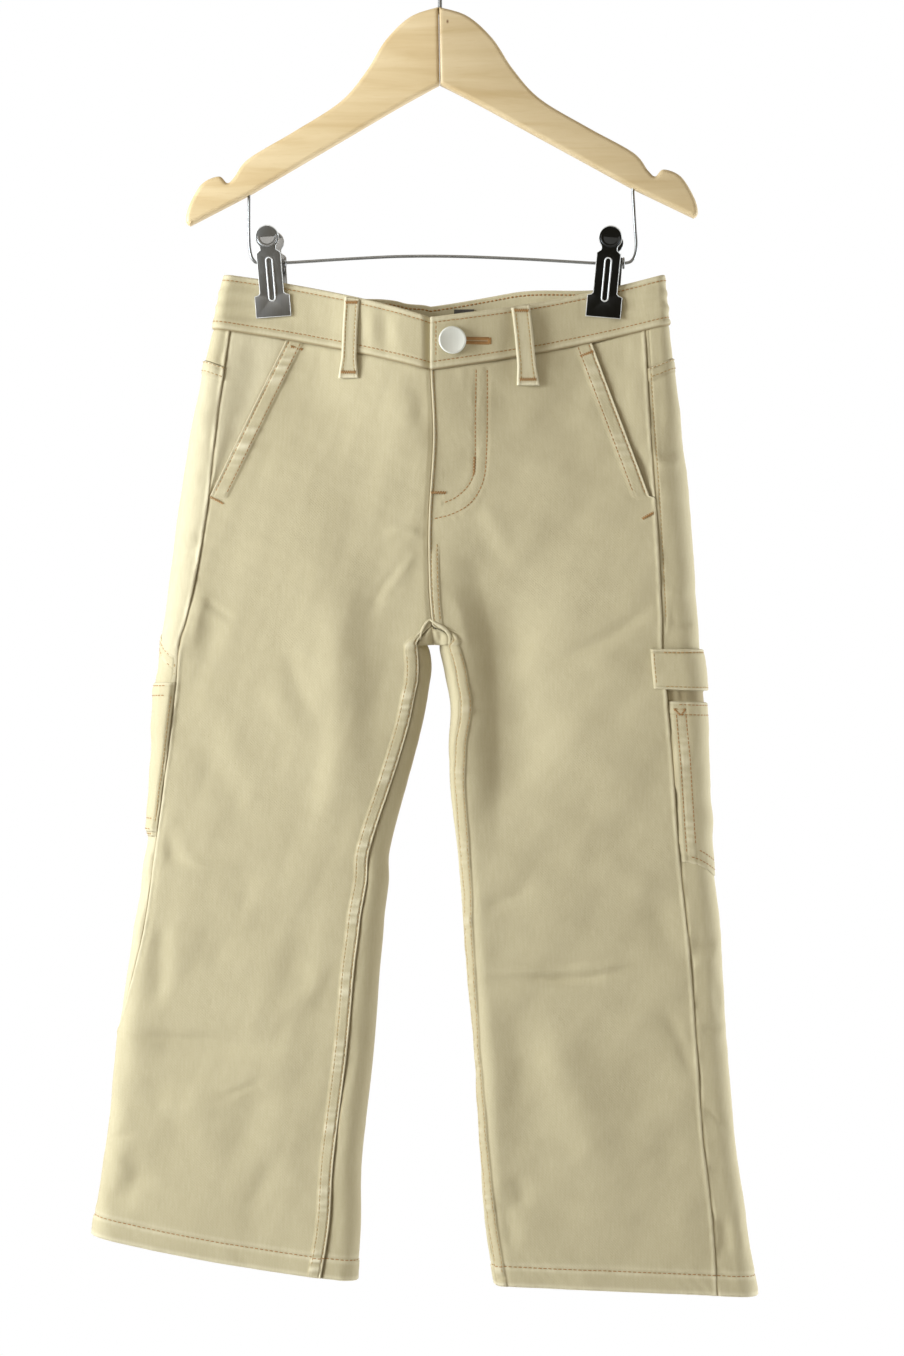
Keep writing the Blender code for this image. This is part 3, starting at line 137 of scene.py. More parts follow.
# Smaller creases, as the way that each one runs, its half width and its rise. A negative rise is
# a trough. lean above 0 makes the side toward the right of the picture the gentler one.
Crease = namedtuple("Crease", "half_width rise lean way")
FRONT_CREASES = [
    # under the band and beside the fly
    Crease(7.0, 2.2, -0.3, [(-38, -288), (-24, -306), (-16, -332), (-12.5, -362)]),
    Crease(4.5, -1.2, 0.0, [(-17, -288), (-13, -306), (-11.5, -330)]),
    Crease(10.0, -1.3, 0.0, [(-86, -275), (-76, -296), (-72, -322)]),
    Crease(6.0, 0.8, 0.0, [(-66, -280), (-58, -302), (-54, -326)]),
    Crease(9.0, 0.9, 0.0, [(-112, -296), (-104, -330), (-100, -366)]),
    Crease(5.0, -0.8, 0.0, [(-3, -300), (8, -306), (20, -303)]),
    Crease(8.0, 1.1, 0.0, [(6, -330), (10, -342), (12, -352)]),
    Crease(6.0, -1.3, 0.0, [(36, -292), (40, -312), (38, -334)]),
    Crease(9.0, 1.0, 0.0, [(58, -300), (62, -318), (58, -344)]),
    Crease(8.0, -0.9, 0.0, [(84, -286), (80, -316), (86, -350)]),
    # small drags that spread from the crotch
    Crease(2.8, 1.0, 0.0, [(-8, -395), (-22, -389), (-36, -394)]),
    Crease(2.6, 1.1, 0.0, [(-13, -402), (-25, -416), (-42, -440)]),
    Crease(3.0, -1.1, 0.0, [(-20, -408), (-32, -422), (-46, -446)]),
    Crease(3.4, 0.9, 0.0, [(6, -424), (14, -444), (18, -470)]),
    Crease(4.0, 1.2, 0.0, [(24, -374), (34, -384), (42, -402)]),
    Crease(4.0, -0.9, 0.0, [(14, -392), (28, -398), (46, -416)]),
    # the crest and the hollow of the right thigh
    Crease(22.0, 3.6, 0.45, [(-60, -420), (-61, -480), (-63, -530), (-70, -600)]),
    Crease(6.0, 1.6, -0.2, [(-56, -402), (-57, -440), (-56, -490), (-54, -530), (-62, -580)]),
    Crease(9.0, -1.2, 0.0, [(-24, -414), (-31, -452), (-38, -496), (-46, -556)]),
    Crease(4.0, -1.3, 0.0, [(-98, -455), (-88, -486), (-74, -513)]),
    Crease(4.5, 1.0, 0.0, [(-107, -480), (-98, -502), (-86, -522)]),
    Crease(6.0, -1.7, 0.0, [(-160, -502), (-146, -528), (-128, -552), (-124, -590)]),
    Crease(5.0, 1.0, 0.0, [(-142, -488), (-130, -520), (-112, -570)]),
    Crease(8.0, -1.4, 0.0, [(-109, -486), (-94, -522), (-98, -576)]),
    # beside the right side seam
    Crease(2.0, -0.8, 0.0, [(-149, -430), (-140, -437), (-126, -447)]),
    Crease(3.4, 1.1, 0.0, [(-146, -424), (-150, -442), (-154, -464)]),
    Crease(4.6, -1.7, 0.0, [(-142, -436), (-143, -456), (-149, -474)]),
    Crease(2.6, 1.0, 0.0, [(-164, -588), (-148, -596), (-122, -600)]),
    Crease(3.6, -1.4, 0.0, [(-171, -572), (-167, -586), (-165, -600)]),
    Crease(5.0, -1.2, 0.0, [(-126, -600), (-121, -614), (-120, -628)]),
    Crease(5.5, -1.1, 0.0, [(-146, -626), (-140, -646), (-143, -664)]),
    Crease(4.0, -1.8, 0.0, [(-173, -628), (-173, -656), (-178, -690)]),
    Crease(4.5, 1.0, 0.0, [(-164, -640), (-164, -664), (-170, -690)]),
    # the right knee and shin
    Crease(6.0, -1.2, 0.0, [(-82, -630), (-88, -655), (-96, -680)]),
    Crease(4.0, 1.2, 0.0, [(-104, -692), (-92, -684), (-78, -674), (-74, -652)]),
    Crease(1.7, -0.9, 0.0, [(-196, -700), (-172, -704), (-132, -706)]),
    Crease(3.0, 0.9, 0.0, [(-200, -702), (-186, -708), (-168, -712)]),
    Crease(4.6, -2.3, 0.3, [(-199, -702), (-196, -732), (-192, -756)]),
    Crease(4.0, -1.0, 0.0, [(-174, -726), (-176, -740), (-176, -754)]),
    Crease(6.0, 1.6, 0.0, [(-160, -730), (-150, -752), (-142, -782)]),
    Crease(1.5, -0.7, 0.0, [(-142, -744), (-122, -736), (-104, -728)]),
    Crease(7.5, -1.9, 0.0, [(-110, -724), (-112, -752), (-130, -790)]),
    Crease(7.0, 1.5, 0.0, [(-88, -736), (-104, -768), (-136, -806)]),
    Crease(4.0, -1.1, 0.0, [(-100, -778), (-112, -796), (-126, -818)]),
    Crease(5.0, -1.2, 0.0, [(-82, -764), (-82, -778), (-88, -792)]),
    Crease(2.2, -1.0, 0.0, [(-208, -766), (-200, -766), (-190, -765)]),
    Crease(4.6, -2.6, 0.0, [(-181, -784), (-194, -800), (-206, -816)]),
    Crease(4.0, 1.6, 0.0, [(-204, -774), (-198, -784), (-190, -792)]),
    Crease(4.0, -1.4, 0.0, [(-210, -784), (-207, -800), (-200, -812)]),
    # the hollow beside the left inseam
    Crease(25.0, -6.6, 0.5, [(16, -380), (30, -435), (37, -475), (39, -520), (38, -600)]),
    # across the left hip to the side seam
    Crease(3.6, -1.5, 0.0, [(136, -434), (122, -443), (100, -458), (74, -470)]),
    Crease(6.5, 0.9, 0.0, [(134, -448), (118, -460), (92, -478)]),
    Crease(10.0, -1.2, 0.0, [(102, -346), (76, -392), (46, -424)]),
    Crease(9.0, 1.0, 0.0, [(112, -378), (122, -404), (130, -424)]),
    Crease(12.0, 0.9, 0.0, [(100, -512), (112, -545), (128, -576)]),
    # the left knee
    Crease(5.0, 1.2, 0.0, [(98, -584), (114, -600), (138, -611)]),
    Crease(5.0, -1.6, 0.0, [(130, -616), (140, -638), (149, -658)]),
    Crease(3.6, -1.4, 0.0, [(24, -621), (42, -618), (60, -610)]),
    Crease(5.0, -1.0, 0.0, [(28, -648), (40, -650), (52, -640)]),
    Crease(2.3, 1.7, 0.0, [(22, -661), (50, -663), (86, -662), (132, -656)]),
    Crease(2.2, -1.2, 0.0, [(22, -666), (50, -668), (86, -668), (122, -663)]),
    # below the left knee
    Crease(12.0, -2.8, 0.2, [(29, -674), (46, -690), (53, -720), (52, -758), (47, -800)]),
    Crease(15.0, 2.8, 0.0, [(56, -682), (72, -714), (88, -752), (104, -786), (117, -812)]),
    Crease(11.0, -1.6, 0.0, [(136, -706), (126, -730), (124, -760)]),
    Crease(6.0, -1.4, 0.0, [(140, -756), (142, -774), (138, -800)]),
    Crease(3.4, -1.0, 0.0, [(135, -682), (148, -704), (159, -736)]),
    Crease(6.5, 1.4, 0.0, [(151, -786), (153, -824), (156, -846)]),
    Crease(5.0, 1.0, 0.0, [(36, -708), (37, -735), (36, -762)]),
    Crease(4.0, -1.6, 0.0, [(49, -786), (50, -800), (51, -814)]),
    Crease(4.0, -1.8, 0.0, [(37, -798), (42, -822), (46, -842)]),
    Crease(7.0, -1.0, 0.0, [(70, -800), (74, -820), (72, -840)]),
    Crease(9.0, 0.9, 0.0, [(92, -806), (96, -826), (94, -846)]),
    # down the strip at the left side
    Crease(3.6, -1.4, 0.0, [(155, -645), (164, -646), (173, -648)]),
    Crease(3.0, 1.1, 0.0, [(157, -658), (165, -657), (174, -656)]),
    Crease(2.0, -0.9, 0.0, [(162, -700), (169, -699), (176, -698)]),
    Crease(2.6, -1.3, 0.0, [(171, -670), (173, -680), (175, -692)]),
    Crease(1.6, -0.8, 0.0, [(164, -748), (173, -756), (182, -770)]),
    Crease(3.6, -1.7, 0.0, [(175, -814), (177, -828), (179, -842)]),
    Crease(3.4, 1.2, 0.0, [(185, -800), (186, -822), (187, -846)]),
    Crease(2.6, 0.9, 0.0, [(134, -350), (142, -348), (150, -350)]),
    Crease(2.6, -0.8, 0.0, [(134, -343), (142, -341), (149, -343)]),
    Crease(2.4, 0.8, 0.0, [(136, -371), (144, -368), (152, -372)]),
    Crease(3.0, 1.0, 0.0, [(139, -430), (147, -428), (156, -432)]),
    Crease(2.6, -1.1, 0.0, [(141, -446), (149, -447), (158, -446)]),
    # down the strip at the right side
    Crease(2.4, -1.0, 0.0, [(-168, -401), (-158, -402), (-148, -401)]),
    Crease(3.0, 0.9, 0.0, [(-166, -393), (-158, -394), (-150, -392)]),
    Crease(3.0, 0.8, 0.0, [(-160, -318), (-152, -320), (-142, -316)]),
    Crease(2.8, -0.8, 0.0, [(-161, -330), (-152, -331), (-144, -329)]),
    Crease(3.0, 0.8, 0.0, [(-164, -356), (-156, -358), (-147, -354)]),
]
BACK_CREASES = [
    Crease(9.0, 1.6, 0.0, [(-28, -440), (-46, -480), (-60, -520)]),
    Crease(10.0, -1.6, 0.0, [(-70, -520), (-102, -538), (-130, -548)]),
    Crease(8.0, 1.5, 0.0, [(-90, -622), (-120, -628), (-150, -640)]),
    Crease(11.0, -1.5, 0.0, [(-110, -700), (-92, -740), (-84, -780)]),
    Crease(9.0, 1.3, 0.0, [(-150, -730), (-164, -770), (-170, -800)]),
    Crease(8.0, -2.0, 0.0, [(16, -446), (26, -496), (40, -540)]),
    Crease(10.0, 1.6, 0.0, [(56, -512), (88, -524), (120, -530)]),
    Crease(8.0, 1.4, 0.0, [(60, -640), (90, -644), (118, -652)]),
    Crease(12.0, -1.4, 0.0, [(84, -690), (88, -750), (100, -800)]),
    Crease(8.0, 1.4, 0.0, [(140, -720), (142, -770), (150, -820)]),
    Crease(6.0, 1.2, 0.0, [(-36, -300), (-44, -324), (-60, -346)]),
    Crease(6.0, -1.0, 0.0, [(40, -300), (46, -326), (58, -350)]),
    Crease(3.0, -1.1, 0.0, [(-150, -640), (-120, -644), (-90, -640)]),
    Crease(3.0, 1.1, 0.0, [(60, -700), (90, -706), (130, -700)]),
    Crease(3.4, -1.3, 0.0, [(30, -566), (60, -572), (96, -570)]),
    Crease(4.0, 1.2, 0.0, [(-44, -420), (-70, -414), (-96, -416)]),
    Crease(4.0, 1.2, 0.0, [(36, -420), (62, -414), (88, -418)]),
]

# How far small folds push the inner fold toward the right of the picture, as level and distance
INNER_SHIFT = {
    "right": [(6.3, 0.0), (6.9, 1.0), (7.5, 1.8), (8.2, 0.5), (8.9, 0.0), (9.25, 2.4), (9.7, 1.2),
              (10.4, 0.3), (11.0, 0.0)],
    "left": [(6.9, 0.0), (7.4, 1.9), (7.9, -0.3), (8.3, -1.4), (9.0, -0.3), (9.5, 0.0)],
}


def step(t):
    """A step from 0 to 1 with level ends."""
    t = np.clip(t, 0.0, 1.0)
    return t * t * (3.0 - 2.0 * t)


def eased(rows, t):
    """A value that eases from row to row of a table of places and values."""
    places, values = (np.array(column) for column in zip(*rows))
    i = np.clip(np.searchsorted(places, t, side="right") - 1, 0, len(places) - 2)
    return values[i] + (values[i + 1] - values[i]) * step((t - places[i]) / (places[i + 1] - places[i]))


def spline(values, t):
    """A smooth curve through evenly spaced values, read at the indices t."""
    values = np.asarray(values, float)
    last = len(values) - 1
    t = np.clip(np.asarray(t, float), 0.0, float(last))
    i = np.minimum(t.astype(int), last - 1)
    f = t - i
    a = values[np.maximum(i - 1, 0)]
    b = values[i]
    c = values[i + 1]
    d = values[np.minimum(i + 2, last)]
    bend = (2.0 * a - 5.0 * b + 4.0 * c - d) * f * f + (3.0 * b - a - 3.0 * c + d) * f ** 3
    return 0.5 * (2.0 * b + (c - a) * f + bend)


def smooth_path(points, steps):
    """Points along a smooth curve through the given points, steps to each stretch."""
    t = np.arange((len(points) - 1) * steps + 1) / steps
    return np.stack([spline(axis, t) for axis in zip(*points)], axis=-1)


FIELDS = {side: {field: np.array([getattr(row, field) for row in rows]) for field in Section._fields}
          for side, rows in SECTIONS.items()}


def gap_shift(side, level):
    """How far the inner fold has moved off the centre line where the gap starts."""
    past = np.asarray(level, float) - CROTCH
    return GAP_SHIFT[side] * step(past / GAP_RAMP) * np.exp(-np.maximum(past, 0.0) / GAP_FADE)


def section(side, level):
    """The sections of a side at the given levels."""
    level = np.asarray(level, float)
    found = {}
    for field, values in FIELDS[side].items():
        if field in ("inner_x", "inner_z"):
            above = spline(values[:CROTCH + 1], level)
            below = spline(values[CROTCH:], level - CROTCH)
            found[field] = np.where(level <= CROTCH, above, below)
        else:
            found[field] = spline(values, level)
    found["inner_x"] = found["inner_x"] + gap_shift(side, level) + eased(INNER_SHIFT[side], level)
    found["width"] = np.abs(found["inner_x"] - found["outer_x"])
    top = np.array(INSEAM_TOP[side])
    near = np.interp(level, top[:, 0], top[:, 1])
    found["inseam"] = np.where(level < 7.0, near, found["inseam"]) - np.abs(gap_shift(side, level))
    found["inseam"] = np.maximum(found["inseam"], 0.0)
    return found


def across_of(turn):
    return 0.5 * (1.0 - np.cos(np.pi * turn))


def turn_of(distance, width):
    part = np.minimum(np.abs(distance) / width, 1.0)
    return np.copysign(np.arccos(1.0 - 2.0 * part) / np.pi, distance)


def half_depth(side, row, level, across, on_back):
    """How far the cloth lies from the middle plane, pinched at the clips and rounded at the folds."""
    width = row["width"]
    full = np.where(on_back, row["back"], row["front"])
    clip = (CLIP_X[side] - row["outer_x"]) / (row["inner_x"] - row["outer_x"])
    jaw = JAW_HALF / width
    ease = step((level - PINCH_EASE_FROM) / (1.0 - PINCH_EASE_FROM))
    pin = PINCHED + PINCH_EASE * ease
    lobe = END_LOOP + END_LOOP_EASE * ease
    outward = pin + (lobe - pin) * step((clip - jaw - across) / (clip - jaw))
    inward = pin + (full - pin) * step((across - clip - jaw) / (1.0 - clip - jaw))
    held = np.where(across < clip, outward, inward)
    hold = 1.0 - step((level - 1.0) / PINCH_LEVELS)
    depth = full + (held - full) * hold
    reach = FOLD_ROUND * (full + (lobe - full) * hold) / width
    outer_round = np.sqrt(1.0 - (1.0 - np.minimum(across / reach, 1.0)) ** 2)
    open_part = np.cos(0.5 * np.pi * np.clip(level - FORK, 0.0, 1.0))
    near = np.maximum(0.0, (across - 1.0 + FOLD_ROUND * full / width) * width / (FOLD_ROUND * full))
    inner_round = np.sqrt(np.maximum(0.0, 1.0 - (1.0 - open_part ** 2) * near ** 2))
    return depth * outer_round * inner_round


def fold_rise(x, z, on_back):
    """How far the creases lift the cloth. Each fades out toward both of its ends."""
    rise = np.zeros_like(x)
    for fold in FOLDS:
        run_x = fold.foot_x - fold.top_x
        run_z = fold.foot_z - fold.top_z
        length = math.hypot(run_x, run_z)
        along = ((x - fold.top_x) * run_x + (z - fold.top_z) * run_z) / length ** 2
        aside = ((x - fold.top_x) * run_z - (z - fold.top_z) * run_x) / length
        shape = np.sin(np.pi * np.clip(along, 0.0, 1.0)) * np.exp(-(aside / fold.half_width) ** 2)
        rise = rise + np.where(on_back == fold.at_back, fold.rise * shape, 0.0)
    return rise


SOFTER = 0.9


def softer(crease):
    """A crease of middling width, made wider and lower; fine wrinkles and broad folds stay."""
    part = float(step((crease.half_width - 2.0) / 3.5) * (1.0 - step((crease.half_width - 9.0) / 6.0)))
    return crease._replace(half_width=crease.half_width * (1.0 + SOFTER * part),
                           rise=crease.rise * (1.0 - 0.45 * SOFTER * part))


def crease_rise(points, turns, levels, side):
    """The smaller creases' heights over a grid. They die out at the folded sides of the leg."""
    x, z = points[..., 0], points[..., 2]
    on_back = turns % 2.0 > 1.0
    total = np.zeros_like(x)
    for at_back, creases in ((False, FRONT_CREASES), (True, BACK_CREASES)):
        for crease in creases:
            way = smooth_path(crease.way, 5)
            crease = softer(crease)
            reach = 2.6 * crease.half_width * (1.0 + abs(crease.lean))
            low, high = way.min(axis=0) - reach, way.max(axis=0) + reach
            near = (x > low[0]) & (x < high[0]) & (z > low[1]) & (z < high[1]) & (on_back == at_back)
            if near.any():
                total[near] += one_crease(crease, way, x[near], z[near])
    row = section(side, levels)
    across = across_of(turns % 2.0)
    inner = np.where(levels < FORK, 1.0, step((1.0 - across) * row["width"] / 6.0))
    return total * step(across * row["width"] / 6.0) * inner


def one_crease(crease, way, x, z):
    """One crease: round across its way, and fading out toward both ends of it."""
    steps = np.diff(way, axis=0)
    lengths = np.hypot(steps[:, 0], steps[:, 1])
    starts = np.concatenate([[0.0], np.cumsum(lengths)])
    best = np.full_like(x, 1e9)
    aside = np.zeros_like(x)
    along = np.zeros_like(x)
    for (sx, sz), (px, pz), length, start in zip(steps, way[:-1], lengths, starts):
        part = np.clip(((x - px) * sx + (z - pz) * sz) / length ** 2, 0.0, 1.0)
        gap_x, gap_z = x - px - part * sx, z - pz - part * sz
        gap = np.hypot(gap_x, gap_z)
        closer = gap < best
        best = np.where(closer, gap, best)
        aside = np.where(closer, np.copysign(gap, gap_x * sz - gap_z * sx), aside)
        along = np.where(closer, start + part * length, along)
    # aside is positive toward -x for a way that runs down
    width = crease.half_width * np.where(aside < 0.0, 1.0 + crease.lean, 1.0 - crease.lean)
    ease = 0.34 * starts[-1]
    taper = step(along / ease) * step((starts[-1] - along) / ease)
    return crease.rise * taper * np.exp(-(aside / width) ** 2)


def cloth(side, turn, level):
    """Points of the outside: turn 0 to 1 is the front, outer fold to inner, and 1 to 2 the back."""
    turn, level = np.broadcast_arrays(np.asarray(turn, float), np.asarray(level, float))
    row = section(side, level)
    on_back = turn % 2.0 > 1.0
    across = across_of(turn)
    x = row["outer_x"] + (row["inner_x"] - row["outer_x"]) * across
    z = row["outer_z"] + (row["inner_z"] - row["outer_z"]) * across
    z = z + row["bow"] * 4.0 * across * (1.0 - across)
    fade = 1.0 - step((level - 1.0) / BACK_RISE_LEVELS)
    lift = fade * eased(BACK_RISE[side], across)
    z = z + np.where(on_back, lift, 0.0)
    depth = half_depth(side, row, level, across, on_back)
    depth = depth + fold_rise(x, z, on_back) * np.sin(np.pi * across)
    return np.stack([x, np.where(on_back, depth, -depth), z], axis=-1)


def outward(side, turn, level):
    """The outward normals, from points a little to each side that lie on the same face."""
    turn, level = np.broadcast_arrays(np.asarray(turn, float), np.asarray(level, float))
    low = turn - 0.004
    high = turn + 0.004
    upper = level < CROTCH
    high = np.where(upper & (turn <= 1.0), np.minimum(high, 1.0), high)
    low = np.where(upper & (turn > 1.0), np.maximum(low, 1.0 + TINY), low)
    along = cloth(side, high, level) - cloth(side, low, level)
    lower_level = np.where((level - 0.02 < CROTCH) & (level + 0.02 > CROTCH), level, level - 0.02)
    down = cloth(side, turn, level + 0.02) - cloth(side, turn, lower_level)
    normal = np.cross(down, along) if side == "right" else np.cross(along, down)
    return unit(normal)


def unit(v):
    return v / np.maximum(np.linalg.norm(v, axis=-1, keepdims=True), 1e-12)


def outseam_turn(side, level):
    row = section(side, level)
    return turn_of(row["outseam"], row["width"])


def inseam_turn(side, level):
    """Where front and back meet inside the leg; above the junction, the centre line."""
    row = section(side, level)
    return 1.0 - turn_of(row["inseam"], row["width"])


def mouth_turn(side, level):
    """Where the sections cross the straight mouth of the front pocket."""
    (ax, az), (bx, bz) = MOUTH[side]
    level = np.asarray(level, float)
    low = np.zeros_like(level)
    high = np.ones_like(level)
    inner = 1.0 if side == "right" else -1.0
    for _ in range(30):
        middle = 0.5 * (low + high)
        point = cloth(side, middle, level)
        past = ((point[..., 0] - ax) * (bz - az) - (point[..., 2] - az) * (bx - ax)) * inner
        high = np.where(past < 0.0, middle, high)
        low = np.where(past < 0.0, low, middle)
    return 0.5 * (low + high)


# ---------------------------------------------------------------- grids

EDGE_OFFSETS = np.array([0.0, 0.3, 0.6, 0.95, 1.3, 1.7, 2.1, 2.5, 2.95, 3.4, 3.9, 4.4, 4.9, 5.4, 5.9, 6.4,
                         6.9, 7.4, 7.9, 8.4, 8.9, 9.5, 10.2, 11.2, 12.6])


def spread(side, starts, ends, levels, middle, edges=EDGE_OFFSETS, far_edges=None):
    """Turns along each level, close together near both ends, with their distances from the ends."""
    far_edges = edges if far_edges is None else far_edges
    part = np.linspace(0.0, 1.0, 221)
    turns = starts[:, None] + (ends - starts)[:, None] * part
    points = cloth(side, turns, levels[:, None])
    steps = np.linalg.norm(np.diff(points, axis=1), axis=-1)
    arc = np.concatenate([np.zeros((len(levels), 1)), np.cumsum(steps, axis=1)], axis=1)
    total = arc[:, -1:]
    near = edges[None] * np.minimum(1.0, 0.42 * total / edges[-1])
    far = total - (far_edges[None] * np.minimum(1.0, 0.42 * total / far_edges[-1]))[:, ::-1]
    inner = near[:, -1:] + (far[:, :1] - near[:, -1:]) * np.linspace(0.0, 1.0, middle + 2)[1:-1]
    target = np.concatenate([near, inner, far], axis=1)
    found = np.stack([np.interp(target[r], arc[r], turns[r]) for r in range(len(levels))])
    return found, target, total - target


def cloth_uv(side, turns, levels, points):
    """Cloth coordinates: the way round from the outer fold, and z."""
    part = np.linspace(-1.0 + TINY, 1.0, 241)
    row_level = np.asarray(levels).mean(axis=1)
    ring = cloth(side, part % 2.0, row_level[:, None])
    arc = np.concatenate([np.zeros((len(row_level), 1)),
                          np.cumsum(np.linalg.norm(np.diff(ring, axis=1), axis=-1), axis=1)], axis=1)
    arc = arc - arc[:, 120:121]
    wrapped = np.where(turns > 1.0, turns - 2.0, turns)
    found = np.stack([np.interp(wrapped[r], part, arc[r]) for r in range(len(row_level))])
    outer_x = section(side, row_level)["outer_x"][:, None]
    inward = 1.0 if side == "right" else -1.0
    return np.stack([outer_x + inward * found, points[..., 2]], axis=-1)


def level_rows(side, first, last, pitch, fine_top=0.0, fine_foot=0.0, fine=0.7, upper_pitch=None):
    """Levels for rows an even way apart down a side, closer at the top, above the crotch and at the foot."""
    levels = np.linspace(first, last, 900)
    row = section(side, levels)
    z = 0.5 * (row["outer_z"] + row["inner_z"])
    down = z[0] - z
    length = down[-1]
    crotch = np.interp(5.4, levels, down)
    places = [0.0]
    while places[-1] < length:
        here = places[-1]
        close = here < fine_top or here > length - fine_foot
        upper = upper_pitch is not None and here < crotch
        places.append(here + (fine if close else upper_pitch if upper else pitch))
    places[-1] = length
    return np.interp(places, down, levels)


def waves(s, period, seed):
    """An uneven wave from 0 to 1, as cloth puckers along a row of stitches."""
    phase = seed * 2.39
    bend = (0.32 * np.sin(2 * np.pi * s / (period * 4.3) + phase)
            + 0.2 * np.sin(2 * np.pi * s / (period * 9.7) + 2 * phase))
    wave = 0.5 + 0.5 * np.sin(2 * np.pi * (s / period + bend) + 3 * phase)
    fade = 0.62 + 0.38 * np.sin(2 * np.pi * s / (period * 6.1) + 5 * phase)
    return wave * fade


def soft_noise(x, z, scale, seed):
    """Smooth unevenness of about plus and minus one, from a small seeded set of waves."""
    rng = np.random.default_rng(seed)
    total = np.zeros_like(x)
    for _ in range(7):
        angle = rng.uniform(0, 2 * np.pi)
        length = scale * rng.uniform(0.6, 1.7)
        phase = rng.uniform(0, 2 * np.pi)
        total = total + np.sin(2 * np.pi * (x * math.cos(angle) + z * math.sin(angle)) / length + phase)
    return total / 3.2


def bead(d, centre, half, height):
    return height * np.exp(-((d - centre) / half) ** 2)


class Relief:
    """Heights over a grid, with how pale each place is from wear and from painted light, and how dark it is
    from painted shade.
    """

    def __init__(self, shape):
        self.height = np.zeros(shape)
        self.wear_and_painted_light = np.zeros(shape)
        self.painted_shade = np.zeros(shape)

    def felled(self, d, s, width, rows, seed, height=0.75, pucker=0.45, period=7.5, window=1.0):
        """A lapped seam: a rolled edge, a puckered strip between its rows, and a fall to the panel."""
        body = height * step(d / 0.7) * (1.0 - step((d - width) / 1.7))
        lump = waves(s, period, seed) * step((d - 1.2) / 1.6) * (1.0 - step((d - width + 0.3) / 2.0))
        lines = sum(bead(d, row, 0.45, 0.3) for row in rows)
        self.height += window * (body + bead(d, 0.8, 0.55, 0.28) + pucker * lump - lines
                                 - 0.5 * (1.0 - step(d / 0.45)))
        # Pale on the rolled edge from wear, and on the pucker crests from wear and painted light; painted
        # shade at the edge, along the rows and at the foot of the fall
        on_strip = step((d - 1.0) / 1.0) * (1.0 - step((d - width) / 1.5))
        self.wear_and_painted_light += window * (bead(d, 1.0, 0.8, 0.75) + 0.7 * pucker * (2.0 * lump - 0.5 * on_strip)
                               + bead(d, width + 0.2, 0.7, 0.25))
        self.painted_shade += window * (bead(d, 0.0, 0.55, 1.0) + 0.3 * sum(bead(d, row, 0.4, 1.0) for row in rows)
                                 + bead(d, width + 1.1, 0.5, 0.45))

    def ridge(self, d, s, seed, height=0.95, window=1.0):
        """The rounded edge of a plain seam on its raised side."""
        wobble = 0.6 + 0.8 * waves(s, 11.0, seed)
        self.height += window * wobble * (bead(d, 1.3, 1.2, 0.6 * height) - 0.3 * (1.0 - step(d / 0.5)))
        self.wear_and_painted_light += window * bead(d, 1.2, 0.9, 0.5) * (0.6 + 0.6 * waves(s, 14.0, seed + 3))
        # Painted shade in the seam line
        self.painted_shade += window * bead(d, 0.0, 0.4, 0.7)

    def sunk(self, d, s, seed, depth=0.9, window=1.0):
        """The lower side of a seam, which passes under its neighbour."""
        self.height -= window * 0.5 * depth * (1.0 - step(d / 2.4))
        # Painted shade where this side passes under its neighbour
        self.painted_shade += window * bead(d, 0.0, 0.6, 0.9)
        self.height += window * 0.22 * waves(s, 8.0, seed) * step(d / 1.5) * (1.0 - step((d - 2.0) / 9.0))

    def row(self, d, at, s, seed, pucker=0.25, window=1.0):
        """One row of stitches that draws the cloth in."""
        self.height -= window * bead(d, at, 0.5, 0.32)
        beside = bead(d, at - 1.8, 1.3, 1.0) + bead(d, at + 1.9, 1.4, 1.0)
        self.height += window * pucker * waves(s, 6.5, seed) * beside
        # Painted shade along the drawn-in row
        self.painted_shade += window * bead(d, at, 0.35, 0.25)


def path_gap(points, way):
    """The distance of grid points from a line through x and z, and how far along it they lie."""
    x, z = points[..., 0], points[..., 2]
    gap = np.full_like(x, 1e9)
    along = np.zeros_like(x)
    start = 0.0
    for (px, pz), (qx, qz) in zip(way[:-1], way[1:]):
        length = math.hypot(qx - px, qz - pz)
        part = np.clip(((x - px) * (qx - px) + (z - pz) * (qz - pz)) / length ** 2, 0.0, 1.0)
        here = np.hypot(x - px - part * (qx - px), z - pz - part * (qz - pz))
        closer = here < gap
        gap = np.where(closer, here, gap)
        along = np.where(closer, start + part * length, along)
        start += length
    return gap, along


class Panel:
    """A finished grid of cloth: points, distances from its ends along a row, and levels."""

    def __init__(self, points, normals, near, far, levels):
        self.points = points
        self.normals = normals
        self.near = near
        self.far = far
        self.levels = levels

    def along(self, distance, first, last, from_far=False):
        """The points and normals at a distance from one end, for rows between two levels."""
        rows = [r for r in range(len(self.levels)) if first <= self.levels[r] <= last]
        places = []
        outs = []
        for r in rows:
            d = self.far[r][::-1] if from_far else self.near[r]
            points = self.points[r][::-1] if from_far else self.points[r]
            normals = self.normals[r][::-1] if from_far else self.normals[r]
            places.append([np.interp(distance, d, points[:, k]) for k in range(3)])
            outs.append([np.interp(distance, d, normals[:, k]) for k in range(3)])
        return np.array(places), unit(np.array(outs))


# ---------------------------------------------------------------- meshes

def make_mesh(name, points, faces, values=None, uv=None, smooth=True):
    """A mesh object from points in millimetres. values are numbers at the points, and uv is in metres."""
    data = bpy.data.meshes.new(name)
    data.from_pydata((np.asarray(points) * MM).tolist(), [], faces)
    if uv is not None:
        layer = data.uv_layers.new(name="cloth")
        corner = np.zeros(len(data.loops), np.int32)
        data.loops.foreach_get("vertex_index", corner)
        layer.data.foreach_set("uv", (np.asarray(uv)[corner] * MM).astype(np.float32).ravel())
    for key, value in (values or {}).items():
        attribute = data.attributes.new(key, "FLOAT", "POINT")
        attribute.data.foreach_set("value", np.asarray(value, np.float32).ravel())
    if smooth:
        data.shade_smooth()
    data.validate()
    obj = bpy.data.objects.new(name, data)
    bpy.context.scene.collection.objects.link(obj)
    return obj


